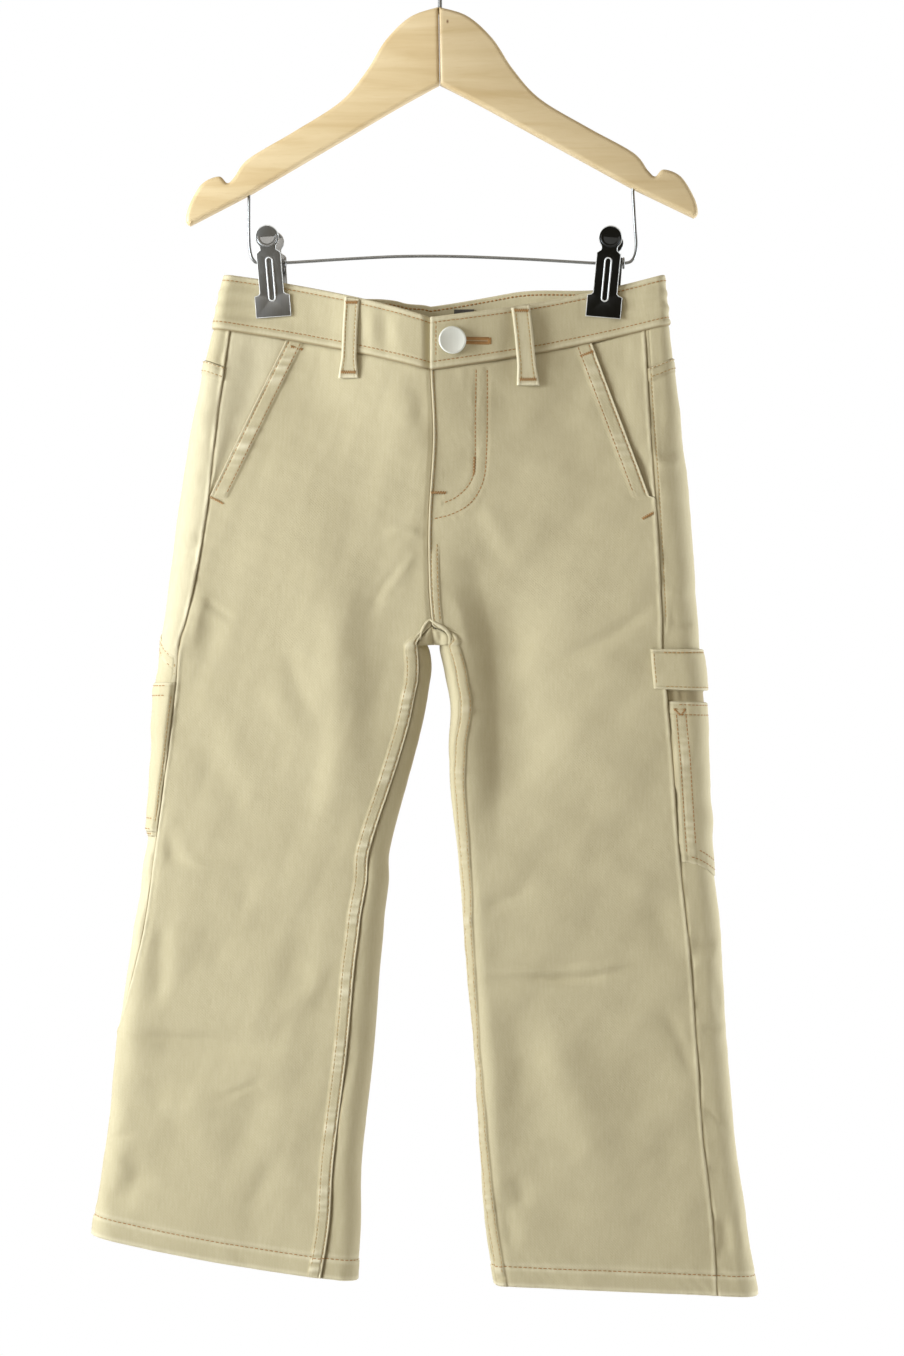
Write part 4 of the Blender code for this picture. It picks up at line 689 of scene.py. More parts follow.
def grid_faces(height, width, flip, skip=None, first=0):
    """Quads of a grid of points, numbered along its rows."""
    r, c = np.meshgrid(np.arange(height - 1), np.arange(width - 1), indexing="ij")
    a = first + r * width + c
    quads = np.stack([a, a + 1, a + width + 1, a + width], axis=-1)
    if flip:
        quads = quads[..., ::-1]
    if skip is not None:
        quads = quads[~skip]
    return quads.reshape(-1, 4).tolist()


def thicken(obj, wall):
    """Gives the edges of open cloth their thickness, turned to the inside."""
    solid = obj.modifiers.new("wall", "SOLIDIFY")
    solid.thickness = wall * MM
    solid.offset = -1.0
    solid.use_even_offset = False
    solid.use_rim_only = True
    return obj


def faces_out(points, normals):
    """Whether a grid's quads, taken along rows and then down, face the given normals."""
    h, w = points.shape[:2]
    r = h // 2
    c = w // 2
    turn = np.cross(points[r, c + 1] - points[r, c], points[r + 1, c] - points[r, c])
    return float(np.dot(turn, normals[r, c])) > 0.0


def finish_cloth(obj, material, nodes, wall):
    obj.data.materials.append(material)
    if wall:
        thicken(obj, wall)
    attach(obj, "root")
    if nodes:
        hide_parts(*nodes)
    return obj


def grid_piece(name, material, nodes, points, normals, relief, uv, wall):
    """A grid of cloth as an object of its own."""
    h, w = points.shape[:2]
    flip = not faces_out(points, normals)
    values = {"wear_and_painted_light": np.clip(relief.wear_and_painted_light, 0, 1.3), "painted_shade": np.clip(relief.painted_shade, 0, 1)}
    obj = make_mesh(name, points.reshape(-1, 3), grid_faces(h, w, flip), values, uv.reshape(-1, 2))
    return finish_cloth(obj, material, nodes, wall)


# ---------------------------------------------------------------- materials

def shader(name):
    material = bpy.data.materials.new(name)
    material.use_nodes = True
    return material, material.node_tree.nodes, material.node_tree.links


def srgb(r, g, b):
    """A colour from screen values of 0 to 255."""
    shares = [v / 255 for v in (r, g, b)]
    return tuple(v / 12.92 if v <= 0.04045 else ((v + 0.055) / 1.055) ** 2.4 for v in shares) + (1.0,)


def add(nodes, kind, **inputs):
    """A shader node, with values set on its sockets by name."""
    node = nodes.new(kind)
    for key, value in inputs.items():
        node.inputs[key.replace("_", " ")].default_value = value
    return node


def mix_colour(nodes, links, factor, a, b, blend="MIX"):
    node = nodes.new("ShaderNodeMix")
    node.data_type = "RGBA"
    node.blend_type = blend
    node.clamp_factor = True
    for socket, value in ((node.inputs[0], factor), (node.inputs[6], a), (node.inputs[7], b)):
        if isinstance(value, (tuple, float, int)):
            socket.default_value = value
        else:
            links.new(value, socket)
    return node.outputs[2]


def calc(nodes, links, kind, a, b=0.0, c=0.0):
    node = nodes.new("ShaderNodeMath")
    node.operation = kind
    for k, value in enumerate((a, b, c)):
        if isinstance(value, (float, int)):
            node.inputs[k].default_value = value
        else:
            links.new(value, node.inputs[k])
    return node.outputs[0]


TWILL_BASE = srgb(188, 178, 146)
TWILL_DEEP = srgb(174, 163, 129)
TWILL_PALE = srgb(222, 215, 190)
# The brown of the painted shade in seams and hollows
TWILL_PAINTED_SHADE = srgb(124, 104, 66)
TWILL_PITCH = 0.00095


def twill_material(name, base=TWILL_BASE, pale=TWILL_PALE):
    """Washed cotton twill: slanted ribs, faint lengthwise streaks, pale where it is worn and where light is
    painted on, and darker where shade is painted in.
    """
    material, nodes, links = shader(name)
    body = nodes["Principled BSDF"]
    body.inputs["Roughness"].default_value = 0.88
    body.inputs["Specular IOR Level"].default_value = 0.25
    body.inputs["Sheen Weight"].default_value = 0.12
    body.inputs["Sheen Roughness"].default_value = 0.6
    body.inputs["Sheen Tint"].default_value = (1.0, 0.96, 0.86, 1.0)
    uv = nodes.new("ShaderNodeUVMap")
    uv.uv_map = "cloth"
    place = nodes.new("ShaderNodeSeparateXYZ")
    links.new(uv.outputs[0], place.inputs[0])
    u, v = place.outputs[0], place.outputs[1]

    streak_at = nodes.new("ShaderNodeCombineXYZ")
    links.new(calc(nodes, links, "MULTIPLY", u, 700.0), streak_at.inputs[0])
    links.new(calc(nodes, links, "MULTIPLY", v, 90.0), streak_at.inputs[1])
    streak = add(nodes, "ShaderNodeTexNoise", Scale=1.0, Detail=3.0, Roughness=0.6)
    links.new(streak_at.outputs[0], streak.inputs["Vector"])

    spot = nodes.new("ShaderNodeTexCoord")
    blotch = add(nodes, "ShaderNodeTexNoise", Scale=16.0, Detail=3.0, Roughness=0.55)
    links.new(spot.outputs["Object"], blotch.inputs["Vector"])
    fleck = add(nodes, "ShaderNodeTexNoise", Scale=900.0, Detail=2.0, Roughness=0.6)
    links.new(spot.outputs["Object"], fleck.inputs["Vector"])

    uneven = calc(nodes, links, "MULTIPLY", blotch.outputs["Fac"], 0.55)
    colour = mix_colour(nodes, links, uneven, base, TWILL_DEEP)
    lighter = calc(nodes, links, "MULTIPLY", calc(nodes, links, "SUBTRACT", streak.outputs["Fac"], 0.4), 0.42)
    colour = mix_colour(nodes, links, lighter, colour, pale)

    slant = calc(nodes, links, "ADD", u, calc(nodes, links, "MULTIPLY", v, 1.0))
    drift = calc(nodes, links, "MULTIPLY", fleck.outputs["Fac"], 0.00035)
    phase = calc(nodes, links, "MULTIPLY", calc(nodes, links, "ADD", slant, drift), 2 * math.pi / TWILL_PITCH)
    wave = calc(nodes, links, "MULTIPLY", calc(nodes, links, "SINE", phase), 0.5)
    rib = calc(nodes, links, "ADD", wave, 0.5)
    ribbed = mix_colour(nodes, links, calc(nodes, links, "MULTIPLY", rib, 0.16), colour, TWILL_DEEP)
    specks = calc(nodes, links, "MULTIPLY", fleck.outputs["Fac"], 0.18)
    flecked = mix_colour(nodes, links, specks, ribbed, pale)

    # Pale where the cloth is worn and where light is painted on; the brown of painted shade in seams and
    # hollows
    wear_and_painted_light = nodes.new("ShaderNodeAttribute")
    wear_and_painted_light.attribute_name = "wear_and_painted_light"
    painted_shade = nodes.new("ShaderNodeAttribute")
    painted_shade.attribute_name = "painted_shade"
    pale_wear_and_light = calc(nodes, links, "MULTIPLY", wear_and_painted_light.outputs["Fac"],
                  calc(nodes, links, "ADD", calc(nodes, links, "MULTIPLY", streak.outputs["Fac"], 0.7), 0.35))
    colour = mix_colour(nodes, links, pale_wear_and_light, flecked, pale)
    shaded = calc(nodes, links, "MULTIPLY", painted_shade.outputs["Fac"], 0.75)
    colour = mix_colour(nodes, links, shaded, colour, TWILL_PAINTED_SHADE)
    links.new(colour, body.inputs["Base Color"])

    bumps = nodes.new("ShaderNodeBump")
    bumps.inputs["Strength"].default_value = 0.5
    bumps.inputs["Distance"].default_value = 0.00022
    height = calc(nodes, links, "ADD", rib, calc(nodes, links, "MULTIPLY", fleck.outputs["Fac"], 0.9))
    links.new(height, bumps.inputs["Height"])
    links.new(bumps.outputs[0], body.inputs["Normal"])
    return material


def thread_material(name, colour, dark):
    material, nodes, links = shader(name)
    body = nodes["Principled BSDF"]
    body.inputs["Roughness"].default_value = 0.7
    body.inputs["Sheen Weight"].default_value = 0.1
    spot = nodes.new("ShaderNodeTexCoord")
    noise = add(nodes, "ShaderNodeTexNoise", Scale=240.0, Detail=3.0, Roughness=0.6)
    links.new(spot.outputs["Object"], noise.inputs["Vector"])
    links.new(mix_colour(nodes, links, noise.outputs["Fac"], colour, dark), body.inputs["Base Color"])
    bumps = nodes.new("ShaderNodeBump")
    bumps.inputs["Strength"].default_value = 0.4
    bumps.inputs["Distance"].default_value = 0.0001
    fine = add(nodes, "ShaderNodeTexNoise", Scale=2200.0, Detail=1.0)
    links.new(spot.outputs["Object"], fine.inputs["Vector"])
    links.new(fine.outputs["Fac"], bumps.inputs["Height"])
    links.new(bumps.outputs[0], body.inputs["Normal"])
    return material


def metal_material(name, colour, rough, spread_rough=0.12, brushed=600.0, distance=0.00003, metallic=1.0):
    """Plate with fine marks along its length and patchy gloss."""
    material, nodes, links = shader(name)
    body = nodes["Principled BSDF"]
    body.inputs["Metallic"].default_value = metallic
    spot = nodes.new("ShaderNodeTexCoord")
    scale = nodes.new("ShaderNodeMapping")
    scale.inputs["Scale"].default_value = (brushed, brushed, brushed * 0.05)
    links.new(spot.outputs["Object"], scale.inputs["Vector"])
    noise = add(nodes, "ShaderNodeTexNoise", Scale=1.0, Detail=3.0, Roughness=0.6)
    links.new(scale.outputs[0], noise.inputs["Vector"])
    patch = add(nodes, "ShaderNodeTexNoise", Scale=120.0, Detail=2.0)
    links.new(spot.outputs["Object"], patch.inputs["Vector"])
    dull = tuple(0.82 * v for v in colour[:3]) + (1.0,)
    links.new(mix_colour(nodes, links, noise.outputs["Fac"], colour, dull), body.inputs["Base Color"])
    patchy = calc(nodes, links, "MULTIPLY", patch.outputs["Fac"], spread_rough)
    rough_now = calc(nodes, links, "ADD", patchy, rough)
    links.new(rough_now, body.inputs["Roughness"])
    bumps = nodes.new("ShaderNodeBump")
    bumps.inputs["Strength"].default_value = 0.3
    bumps.inputs["Distance"].default_value = distance
    links.new(noise.outputs["Fac"], bumps.inputs["Height"])
    links.new(bumps.outputs[0], body.inputs["Normal"])
    return material


WOOD_PALE = srgb(222, 202, 163)
WOOD_MID = srgb(214, 192, 150)
WOOD_LINE = srgb(201, 175, 129)
WOOD_KNOT = srgb(120, 84, 52)
KNOT_AT = (0.0047, -0.0715)


def wood_material(name, lean, knot, tone=1.0):
    """Pale beech under a clear lacquer, its grain along the arm."""
    material, nodes, links = shader(name)
    body = nodes["Principled BSDF"]
    body.inputs["Roughness"].default_value = 0.5
    body.inputs["Coat Weight"].default_value = 0.1
    body.inputs["Coat Roughness"].default_value = 0.25
    spot = nodes.new("ShaderNodeTexCoord")
    grain = nodes.new("ShaderNodeMapping")
    grain.inputs["Rotation"].default_value = (0.0, lean, 0.0)
    grain.inputs["Scale"].default_value = (9.0, 60.0, 95.0)
    links.new(spot.outputs["Object"], grain.inputs["Vector"])
    bands = add(nodes, "ShaderNodeTexNoise", Scale=1.0, Detail=4.0, Roughness=0.55, Distortion=0.6)
    links.new(grain.outputs[0], bands.inputs["Vector"])
    fine = nodes.new("ShaderNodeMapping")
    fine.inputs["Rotation"].default_value = (0.0, lean, 0.0)
    fine.inputs["Scale"].default_value = (90.0, 500.0, 800.0)
    links.new(spot.outputs["Object"], fine.inputs["Vector"])
    pores = add(nodes, "ShaderNodeTexNoise", Scale=1.0, Detail=3.0, Roughness=0.65)
    links.new(fine.outputs[0], pores.inputs["Vector"])
    ramp = nodes.new("ShaderNodeValToRGB")
    ramp.color_ramp.elements[0].position = 0.3
    ramp.color_ramp.elements[0].color = WOOD_PALE
    ramp.color_ramp.elements[1].position = 0.72
    ramp.color_ramp.elements[1].color = WOOD_LINE
    middle = ramp.color_ramp.elements.new(0.52)
    middle.color = WOOD_MID
    links.new(bands.outputs["Fac"], ramp.inputs[0])
    dark = calc(nodes, links, "MULTIPLY", calc(nodes, links, "SUBTRACT", pores.outputs["Fac"], 0.55), 1.6)
    colour = mix_colour(nodes, links, dark, ramp.outputs[0], WOOD_LINE)
    if knot:
        place = nodes.new("ShaderNodeSeparateXYZ")
        links.new(spot.outputs["Object"], place.inputs[0])
        dx = calc(nodes, links, "SUBTRACT", place.outputs[0], KNOT_AT[0])
        dz = calc(nodes, links, "SUBTRACT", place.outputs[2], KNOT_AT[1])
        wide = calc(nodes, links, "MULTIPLY", dx, 1.5)
        far = calc(nodes, links, "SQRT", calc(nodes, links, "ADD", calc(nodes, links, "MULTIPLY", wide, wide),
                                              calc(nodes, links, "MULTIPLY", dz, dz)))
        near = calc(nodes, links, "SUBTRACT", 1.0, calc(nodes, links, "MULTIPLY", far, 1.0 / 0.0016))
        colour = mix_colour(nodes, links, calc(nodes, links, "MULTIPLY", near, 1.2), colour, WOOD_KNOT)
    colour = mix_colour(nodes, links, 1.0, colour, (tone, tone, tone, 1.0), "MULTIPLY")
    links.new(colour, body.inputs["Base Color"])
    bumps = nodes.new("ShaderNodeBump")
    bumps.inputs["Strength"].default_value = 0.25
    bumps.inputs["Distance"].default_value = 0.0001
    links.new(pores.outputs["Fac"], bumps.inputs["Height"])
    links.new(bumps.outputs[0], body.inputs["Normal"])
    return material


TWILL = twill_material("twill")
BROWN = thread_material("thread_brown", srgb(172, 130, 76), srgb(142, 100, 52))
TAN = thread_material("thread_tan", srgb(178, 150, 102), srgb(154, 124, 78))


# ---------------------------------------------------------------- panels of the jeans

ROW_PITCH = 1.9
UPPER_ROW_PITCH = 1.45
FLY_OFFSETS = np.concatenate([EDGE_OFFSETS, np.arange(13.6, 36.5, 0.95)])
FLY_OUTER = [(29.4, -289.0), (29.4, -320.0), (28.8, -342.0), (27.5, -356.0), (23.0, -367.0), (16.2, -374.5),
             (6.2, -379.5), (-3.8, -382.0)]
FLY_INNER = [(22.5, -289.0), (21.9, -326.0), (21.9, -343.0), (20.6, -355.0), (16.2, -363.0), (9.4, -369.0),
             (2.5, -372.0)]


def base_ripple(points, seed):
    """The faint unevenness of washed cloth."""
    x, z = points[..., 0], points[..., 2]
    return (0.45 * soft_noise(x, 0.8 * z, 58.0, seed + 3) + 0.26 * soft_noise(x, z, 30.0, seed)
            + 0.085 * soft_noise(x, z, 13.0, seed + 7) + 0.03 * soft_noise(x, z, 6.0, seed + 9))


def raised(points, normals, relief, seed, creases=0.0):
    height = relief.height + creases + base_ripple(points, seed)
    return points + normals * height[..., None]


def turn_up(points, normals, rows_up, radius=1.0):
    """Adds the hem that is turned up inside: round the edge, and up by a number of rows."""
    down = unit(points[-1] - points[-4])
    out = normals[-1]
    extra = []
    for angle in np.linspace(0.0, np.pi, 7)[1:]:
        extra.append(points[-1] - out * radius * (1.0 - np.cos(angle)) + down * radius * np.sin(angle))
    for k in range(1, rows_up + 1):
        extra.append(points[-1 - k] - normals[-1 - k] * 2.0 * radius)
    return np.concatenate([points, np.array(extra)])


def stretch_last(values, extra):
    return np.concatenate([values, np.repeat(values[-1:], extra, axis=0)])


def turned_uv(uv, full):
    """Cloth coordinates for a grid with its hem turned up."""
    return np.stack([stretch_last(uv[..., 0], len(full) - len(uv)), full[..., 2]], axis=-1)


HEM_DEPTH = 12.0


def hem_distance(points):
    """How far each point lies above its column's hem edge."""
    run = np.linalg.norm(np.diff(points, axis=0), axis=-1)
    total = np.concatenate([np.cumsum(run[::-1], axis=0)[::-1], np.zeros((1,) + run.shape[1:])])
    return total


def hem_relief(relief, dist, s, seed):
    """The doubled hem: thicker below its row of stitches, drawn into slanting ripples."""
    relief.height += 0.55 * (1.0 - step((dist - HEM_DEPTH + 1.2) / 1.6))
    relief.height += 0.3 * waves(s + 0.8 * dist, 11.0, seed) * (1.0 - step((dist - HEM_DEPTH - 4.0) / 5.0))
    relief.height -= bead(dist, HEM_DEPTH, 0.55, 0.4)
    above_row = 0.35 + 0.3 * waves(s, 8.0, seed)
    relief.wear_and_painted_light += bead(dist, 0.6, 1.1, 0.7) + bead(dist, HEM_DEPTH - 1.4, 1.3, above_row)
    relief.wear_and_painted_light += bead(dist, HEM_DEPTH + 2.0, 1.2, 0.4)


def front_panel(side):
    levels = level_rows(side, 1.0, HEM_LEVEL - HEM_ROUND_LEVELS, ROW_PITCH, 3.0, 16.0, 0.8, UPPER_ROW_PITCH)
    mouth = mouth_turn(side, np.minimum(levels, MOUTH_END))
    starts = np.where(levels < MOUTH_END, mouth, outseam_turn(side, levels))
    ends = inseam_turn(side, levels)
    far_offsets = FLY_OFFSETS if side == "left" else EDGE_OFFSETS
    turns, near, far = spread(side, starts, ends, levels, 46, EDGE_OFFSETS, far_offsets)
    grid = np.broadcast_to(levels[:, None], turns.shape)
    points = cloth(side, turns, grid)
    normals = outward(side, turns, grid)
    s = -points[..., 2]
    relief = Relief(turns.shape)
    seed = 1 if side == "right" else 2

    at_mouth = 1.0 * (grid < MOUTH_END)
    (ax, az), (bx, bz) = MOUTH[side]
    slope = abs(bz - az) / math.hypot(bx - ax, bz - az)
    mouth_d = near * slope
    strong = 1.0 if side == "right" else 0.5
    relief.felled(mouth_d, s, 9.0, (2.3, 8.8), seed + 10, height=0.65, pucker=strong, window=at_mouth)

    below = 1.0 - at_mouth
    if side == "right":
        dark = below * (1.0 - step((grid - 5.9) / 0.5))
        relief.sunk(near, s, seed + 20, window=dark)
        relief.ridge(near, s, seed + 21, 0.8, window=below * step((grid - 5.9) / 0.5))
    else:
        relief.ridge(near, s, seed + 20, 0.85, window=below)

    on_leg = 1.0 * (grid > JUNCTION)
    in_leg = on_leg * step((grid - JUNCTION) / 0.25)
    strip = 2.2 + 5.4 * step((grid - JUNCTION) / 1.3)
    strip_rows = (np.minimum(1.9, 0.5 * strip), strip - 0.2)
    relief.felled(far, s, strip, strip_rows, seed + 30, height=0.7, pucker=1.0, period=7.2, window=in_leg)
    above = 1.0 - in_leg
    if side == "left":
        # darker by colour, because the light from the left falls straight on this strip
        relief.wear_and_painted_light -= 0.5 * in_leg * (1.0 - step((far - strip) / 1.5))
        relief.painted_shade += 0.22 * in_leg * (1.0 - step((far - strip) / 3.0))
        relief.height += above * (0.5 * (1.0 - step((far - 1.0) / 30.0)))
        fly = 1.0 - step((grid - 3.3) / 0.3)
        relief.felled(far, s, 5.8, (1.9, 5.6), seed + 40, height=0.7, pucker=0.25, window=above * (1.0 - fly))
        relief.felled(far, s, 0.9, (1.9,), seed + 41, height=0.9, pucker=0.0, window=above * fly)
    else:
        relief.height -= above * 0.5 * (1.0 - step(far / 3.6))
        # Painted shade along the centre edge
        relief.painted_shade += above * bead(far, 0.0, 0.55, 0.9)

    top = s - s[:1]
    relief.height -= 0.5 * (1.0 - step(top / 2.5)) + 0.8 * (1.0 - step(top / 20.0))
    relief.height += 0.3 * waves(points[..., 0], 13.0, seed + 50) * step(top / 3.0) * (1.0 - step(top / 26.0))
    # Painted shade under the waistband
    relief.painted_shade += bead(top, 0.0, 0.8, 0.8)
    if side == "left":
        for number, way in enumerate((FLY_OUTER, FLY_INNER)):
            gap, along = path_gap(points, smooth_path(way, 6))
            relief.height -= bead(gap, 0.0, 0.9, 0.25)
            relief.height += 0.3 * waves(along, 6.5, seed + 70 + number) * (bead(gap, 2.6, 1.6, 1.0))
            # Painted shade along the fly's stitch lines
            relief.painted_shade += bead(gap, 0.0, 0.5, 0.2)
    dist = hem_distance(points)
    hem_relief(relief, dist, points[..., 0], seed + 60)

    final = raised(points, normals, relief, seed, crease_rise(points, turns, grid, side))
    panel = Panel(final, normals, near, far, levels)
    rows_up = int(np.argmax(dist[::-1, dist.shape[1] // 2] > HEM_DEPTH - 1.0))
    full = turn_up(final, normals, rows_up)
    extra = len(full) - len(final)
    for key in ("height", "wear_and_painted_light", "painted_shade"):
        setattr(relief, key, stretch_last(getattr(relief, key), extra))
    relief.wear_and_painted_light[-rows_up:] = 0.0
    out = stretch_last(normals, extra)
    obj = grid_piece("front_" + side + "_twill", TWILL, ["front_" + side], full, out, relief,
                     turned_uv(cloth_uv(side, turns, grid, points), full), 0.9)
    return panel, obj


YOKE_TUCK = 0.035


def yoke_level(across):
    return YOKE_AT_SIDE + (YOKE_AT_CENTRE - YOKE_AT_SIDE) * across


def back_grid(side, levels, true_level, middle):
    """Turns over the back, from the centre or the inner fold round to the side seam."""
    starts = np.full(len(levels), 1.0 + TINY)
    ends = 2.0 + outseam_turn(side, levels)
    turns, near, far = spread(side, starts, ends, levels, middle)
    part = (turns - starts[:, None]) / (ends - starts)[:, None]
    across = across_of(turns)
    grid = true_level(levels[:, None], across)
    ends_now = 2.0 + outseam_turn(side, grid)
    turns = 1.0 + TINY + part * (ends_now - 1.0 - TINY)
    return turns, near, far, grid


def side_seam_on_back(relief, far, s, grid, side, seed):
    """The back's edge at the side seam: raised on the right leg's upper part, sunk elsewhere."""
    if side == "right":
        high = 1.0 - step((grid - 5.9) / 0.5)
        relief.ridge(far, s, seed, 0.95, window=high)
        relief.sunk(far, s, seed + 1, 0.5, window=1.0 - high)
    else:
        relief.sunk(far, s, seed, 0.55)
        relief.row(far, 2.2, s, seed + 2, 0.2, window=1.0 - step((grid - 5.2) / 0.2))


def yoke(side):
    part = np.linspace(0.0, 1.0, 30)
    nominal = np.full(len(part), 1.35)

    def true_level(_, across):
        return 1.0 + part[:, None] * (yoke_level(across) + YOKE_TUCK - 1.0)

    turns, near, far, grid = back_grid(side, nominal, true_level, 60)
    points = cloth(side, turns, grid)
    normals = outward(side, turns, grid)
    s = -points[..., 2]
    relief = Relief(turns.shape)
    seed = 70 if side == "right" else 80
    side_seam_on_back(relief, far, s, grid, side, seed)
    top = s - s[:1]
    foot = s[-1:] - s
    relief.height -= 0.5 * (1.0 - step(top / 2.5))
    # Painted shade under the waistband
    relief.painted_shade += bead(top, 0.0, 0.8, 0.8)
    relief.sunk(foot, points[..., 0], seed + 3, 0.6)
    relief.felled(near, s, 7.0, (1.9, 6.8), seed + 4, height=0.4, pucker=0.2)
    final = raised(points, normals, relief, seed, crease_rise(points, turns, grid, side))
    grid_piece("yoke_" + side + "_twill", TWILL, ["yoke_" + side], final, normals, relief,
               cloth_uv(side, turns, grid, points), 0.9)
    return Panel(final, normals, near, far, part)


FLAP_COLUMNS = 22
FULL_LEVEL = 3.0


def back_panel(side):
    """The back below the yoke. Past the crotch it wraps round the inner fold to the inseam."""
    seed = 90 if side == "right" else 110
    levels = level_rows(side, 1.7, HEM_LEVEL - HEM_ROUND_LEVELS, ROW_PITCH, 10.0, 16.0, 0.8)
    levels = np.sort(np.concatenate([levels[np.abs(levels - CROTCH) > 0.05],
                                     [CROTCH - 0.04, CROTCH, CROTCH + GAP_RAMP, CROTCH + 0.08]]))

    def true_level(level, across):
        seam = yoke_level(across)
        part = (level - 1.7) / (FULL_LEVEL - 1.7)
        return np.where(level < FULL_LEVEL, seam + part * (FULL_LEVEL - seam), level)

    turns, near, far, grid = back_grid(side, levels, true_level, 58)
    flap_from = int(np.argmax(levels > JUNCTION))
    flap_levels = levels[flap_from:]
    flap_start = inseam_turn(side, flap_levels)
    part = np.linspace(0.0, 1.0, FLAP_COLUMNS)
    flap_turns = flap_start[:, None] + (1.0 - flap_start)[:, None] * part
    flap_grid = np.broadcast_to(flap_levels[:, None], flap_turns.shape)

    points = cloth(side, turns, grid)
    normals = outward(side, turns, grid)
    flap_points = cloth(side, flap_turns, flap_grid)
    flap_normals = outward(side, flap_turns, flap_grid)
    steps = np.linalg.norm(np.diff(flap_points, axis=1), axis=-1)
    flap_d = np.concatenate([np.zeros((len(flap_levels), 1)), np.cumsum(steps, axis=1)], axis=1)

    s = -points[..., 2]
    relief = Relief(turns.shape)
    side_seam_on_back(relief, far, s, grid, side, seed)
    top = s - s[:1]
    relief.felled(top, points[..., 0], 7.6, (1.9, 7.4), seed + 3, height=0.6, pucker=0.2)
    upper = 1.0 - step((grid - CROTCH + 0.3) / 0.3)
    relief.felled(near, s, 7.0, (1.9, 6.8), seed + 4, height=0.4, pucker=0.25, window=upper)
    strip = (1.0 - step((far - 3.0) / 34.0)) * step(far / 3.0)
    relief.height += 0.55 * strip * soft_noise(0.35 * far, s, 26.0, seed + 5)
    if side == "right":
        # paler by colour, where the light falls short
        relief.wear_and_painted_light += 0.3 * (1.0 - step((far - 12.0) / 30.0))
    if side == "left":
        # Painted shade in the gap between the hammer loop and the tool pocket, over a real dip in the cloth
        shade = step((grid - 6.98) / 0.06) * (1.0 - step((grid - 7.18) / 0.06))
        shade = shade * (1.0 - step((far - 50.0) / 20.0))
        relief.height -= shade * (1.2 - 0.8 * waves(far, 9.0, seed + 8))
        relief.painted_shade += 0.75 * shade * (1.0 - 0.5 * waves(far, 9.0, seed + 8))
    dist = hem_distance(points)
    hem_relief(relief, dist, points[..., 0], seed + 60)

    flap_s = -flap_points[..., 2]
    flap = Relief(flap_turns.shape)
    flap.sunk(flap_d, flap_s, seed + 6, 0.7)
    lump = step((CROTCH + 0.05 - flap_grid) / 0.3)
    gathers = np.abs(np.sin(2 * np.pi * (flap_points[..., 0] - CENTRE_X) / 11.0))
    flap.height += lump * 0.9 * gathers * step(flap_d / 1.5)
    # Painted shade along the centre line at the crotch
    flap.painted_shade += lump * 0.7 * bead(flap_points[..., 0], CENTRE_X + 0.6, 0.6, 1.0)
    flap_dist = hem_distance(flap_points)
    hem_relief(flap, flap_dist, flap_points[..., 0], seed + 60)

    final = raised(points, normals, relief, seed, crease_rise(points, turns, grid, side))
    flap_ripple = base_ripple(flap_points, seed) * (1.0 - part) ** 0.5
    flap_final = flap_points + flap_normals * (flap.height + flap_ripple)[..., None]
    joined = levels[flap_from:] >= CROTCH
    final[flap_from:, 0][joined] = flap_final[:, -1][joined]

    rows_up = int(np.argmax(dist[::-1, dist.shape[1] // 2] > HEM_DEPTH - 1.0))
    full = turn_up(final, normals, rows_up)
    flap_full = turn_up(flap_final, flap_normals, rows_up)
    extra = len(full) - len(final)
    full[-extra:, 0] = flap_full[-extra:, -1]
    all_points = np.concatenate([full.reshape(-1, 3), flap_full.reshape(-1, 3)])
    h, w = full.shape[:2]
    fh, fw = flap_full.shape[:2]
    flip = not faces_out(points, normals)
    faces = grid_faces(h, w, flip)
    faces += grid_faces(fh, fw, flip, first=h * w)
    values = {}
    for key in ("wear_and_painted_light", "painted_shade"):
        main = stretch_last(getattr(relief, key), extra)
        side_part = stretch_last(getattr(flap, key), extra)
        values[key] = np.clip(np.concatenate([main.ravel(), side_part.ravel()]), 0, 1.2)
    main_uv = turned_uv(cloth_uv(side, turns, grid, points), full)
    flap_uv = turned_uv(cloth_uv(side, flap_turns, flap_grid, flap_points), flap_full)
    uv = np.concatenate([main_uv.reshape(-1, 2), flap_uv.reshape(-1, 2)])
    obj = make_mesh("back_" + side + "_twill", all_points, faces, values, uv)
    mesh = bmesh.new()
    mesh.from_mesh(obj.data)
    bmesh.ops.remove_doubles(mesh, verts=mesh.verts, dist=0.0000005)
    mesh.to_mesh(obj.data)
    mesh.free()
    obj.data.shade_smooth()
    finish_cloth(obj, TWILL, ["back_" + side], 0.9)
    flap_panel = Panel(flap_final, flap_normals, flap_d, flap_d[:, -1:] - flap_d, flap_levels)
    return Panel(final, normals, near, far, levels), flap_panel, (turns, grid)


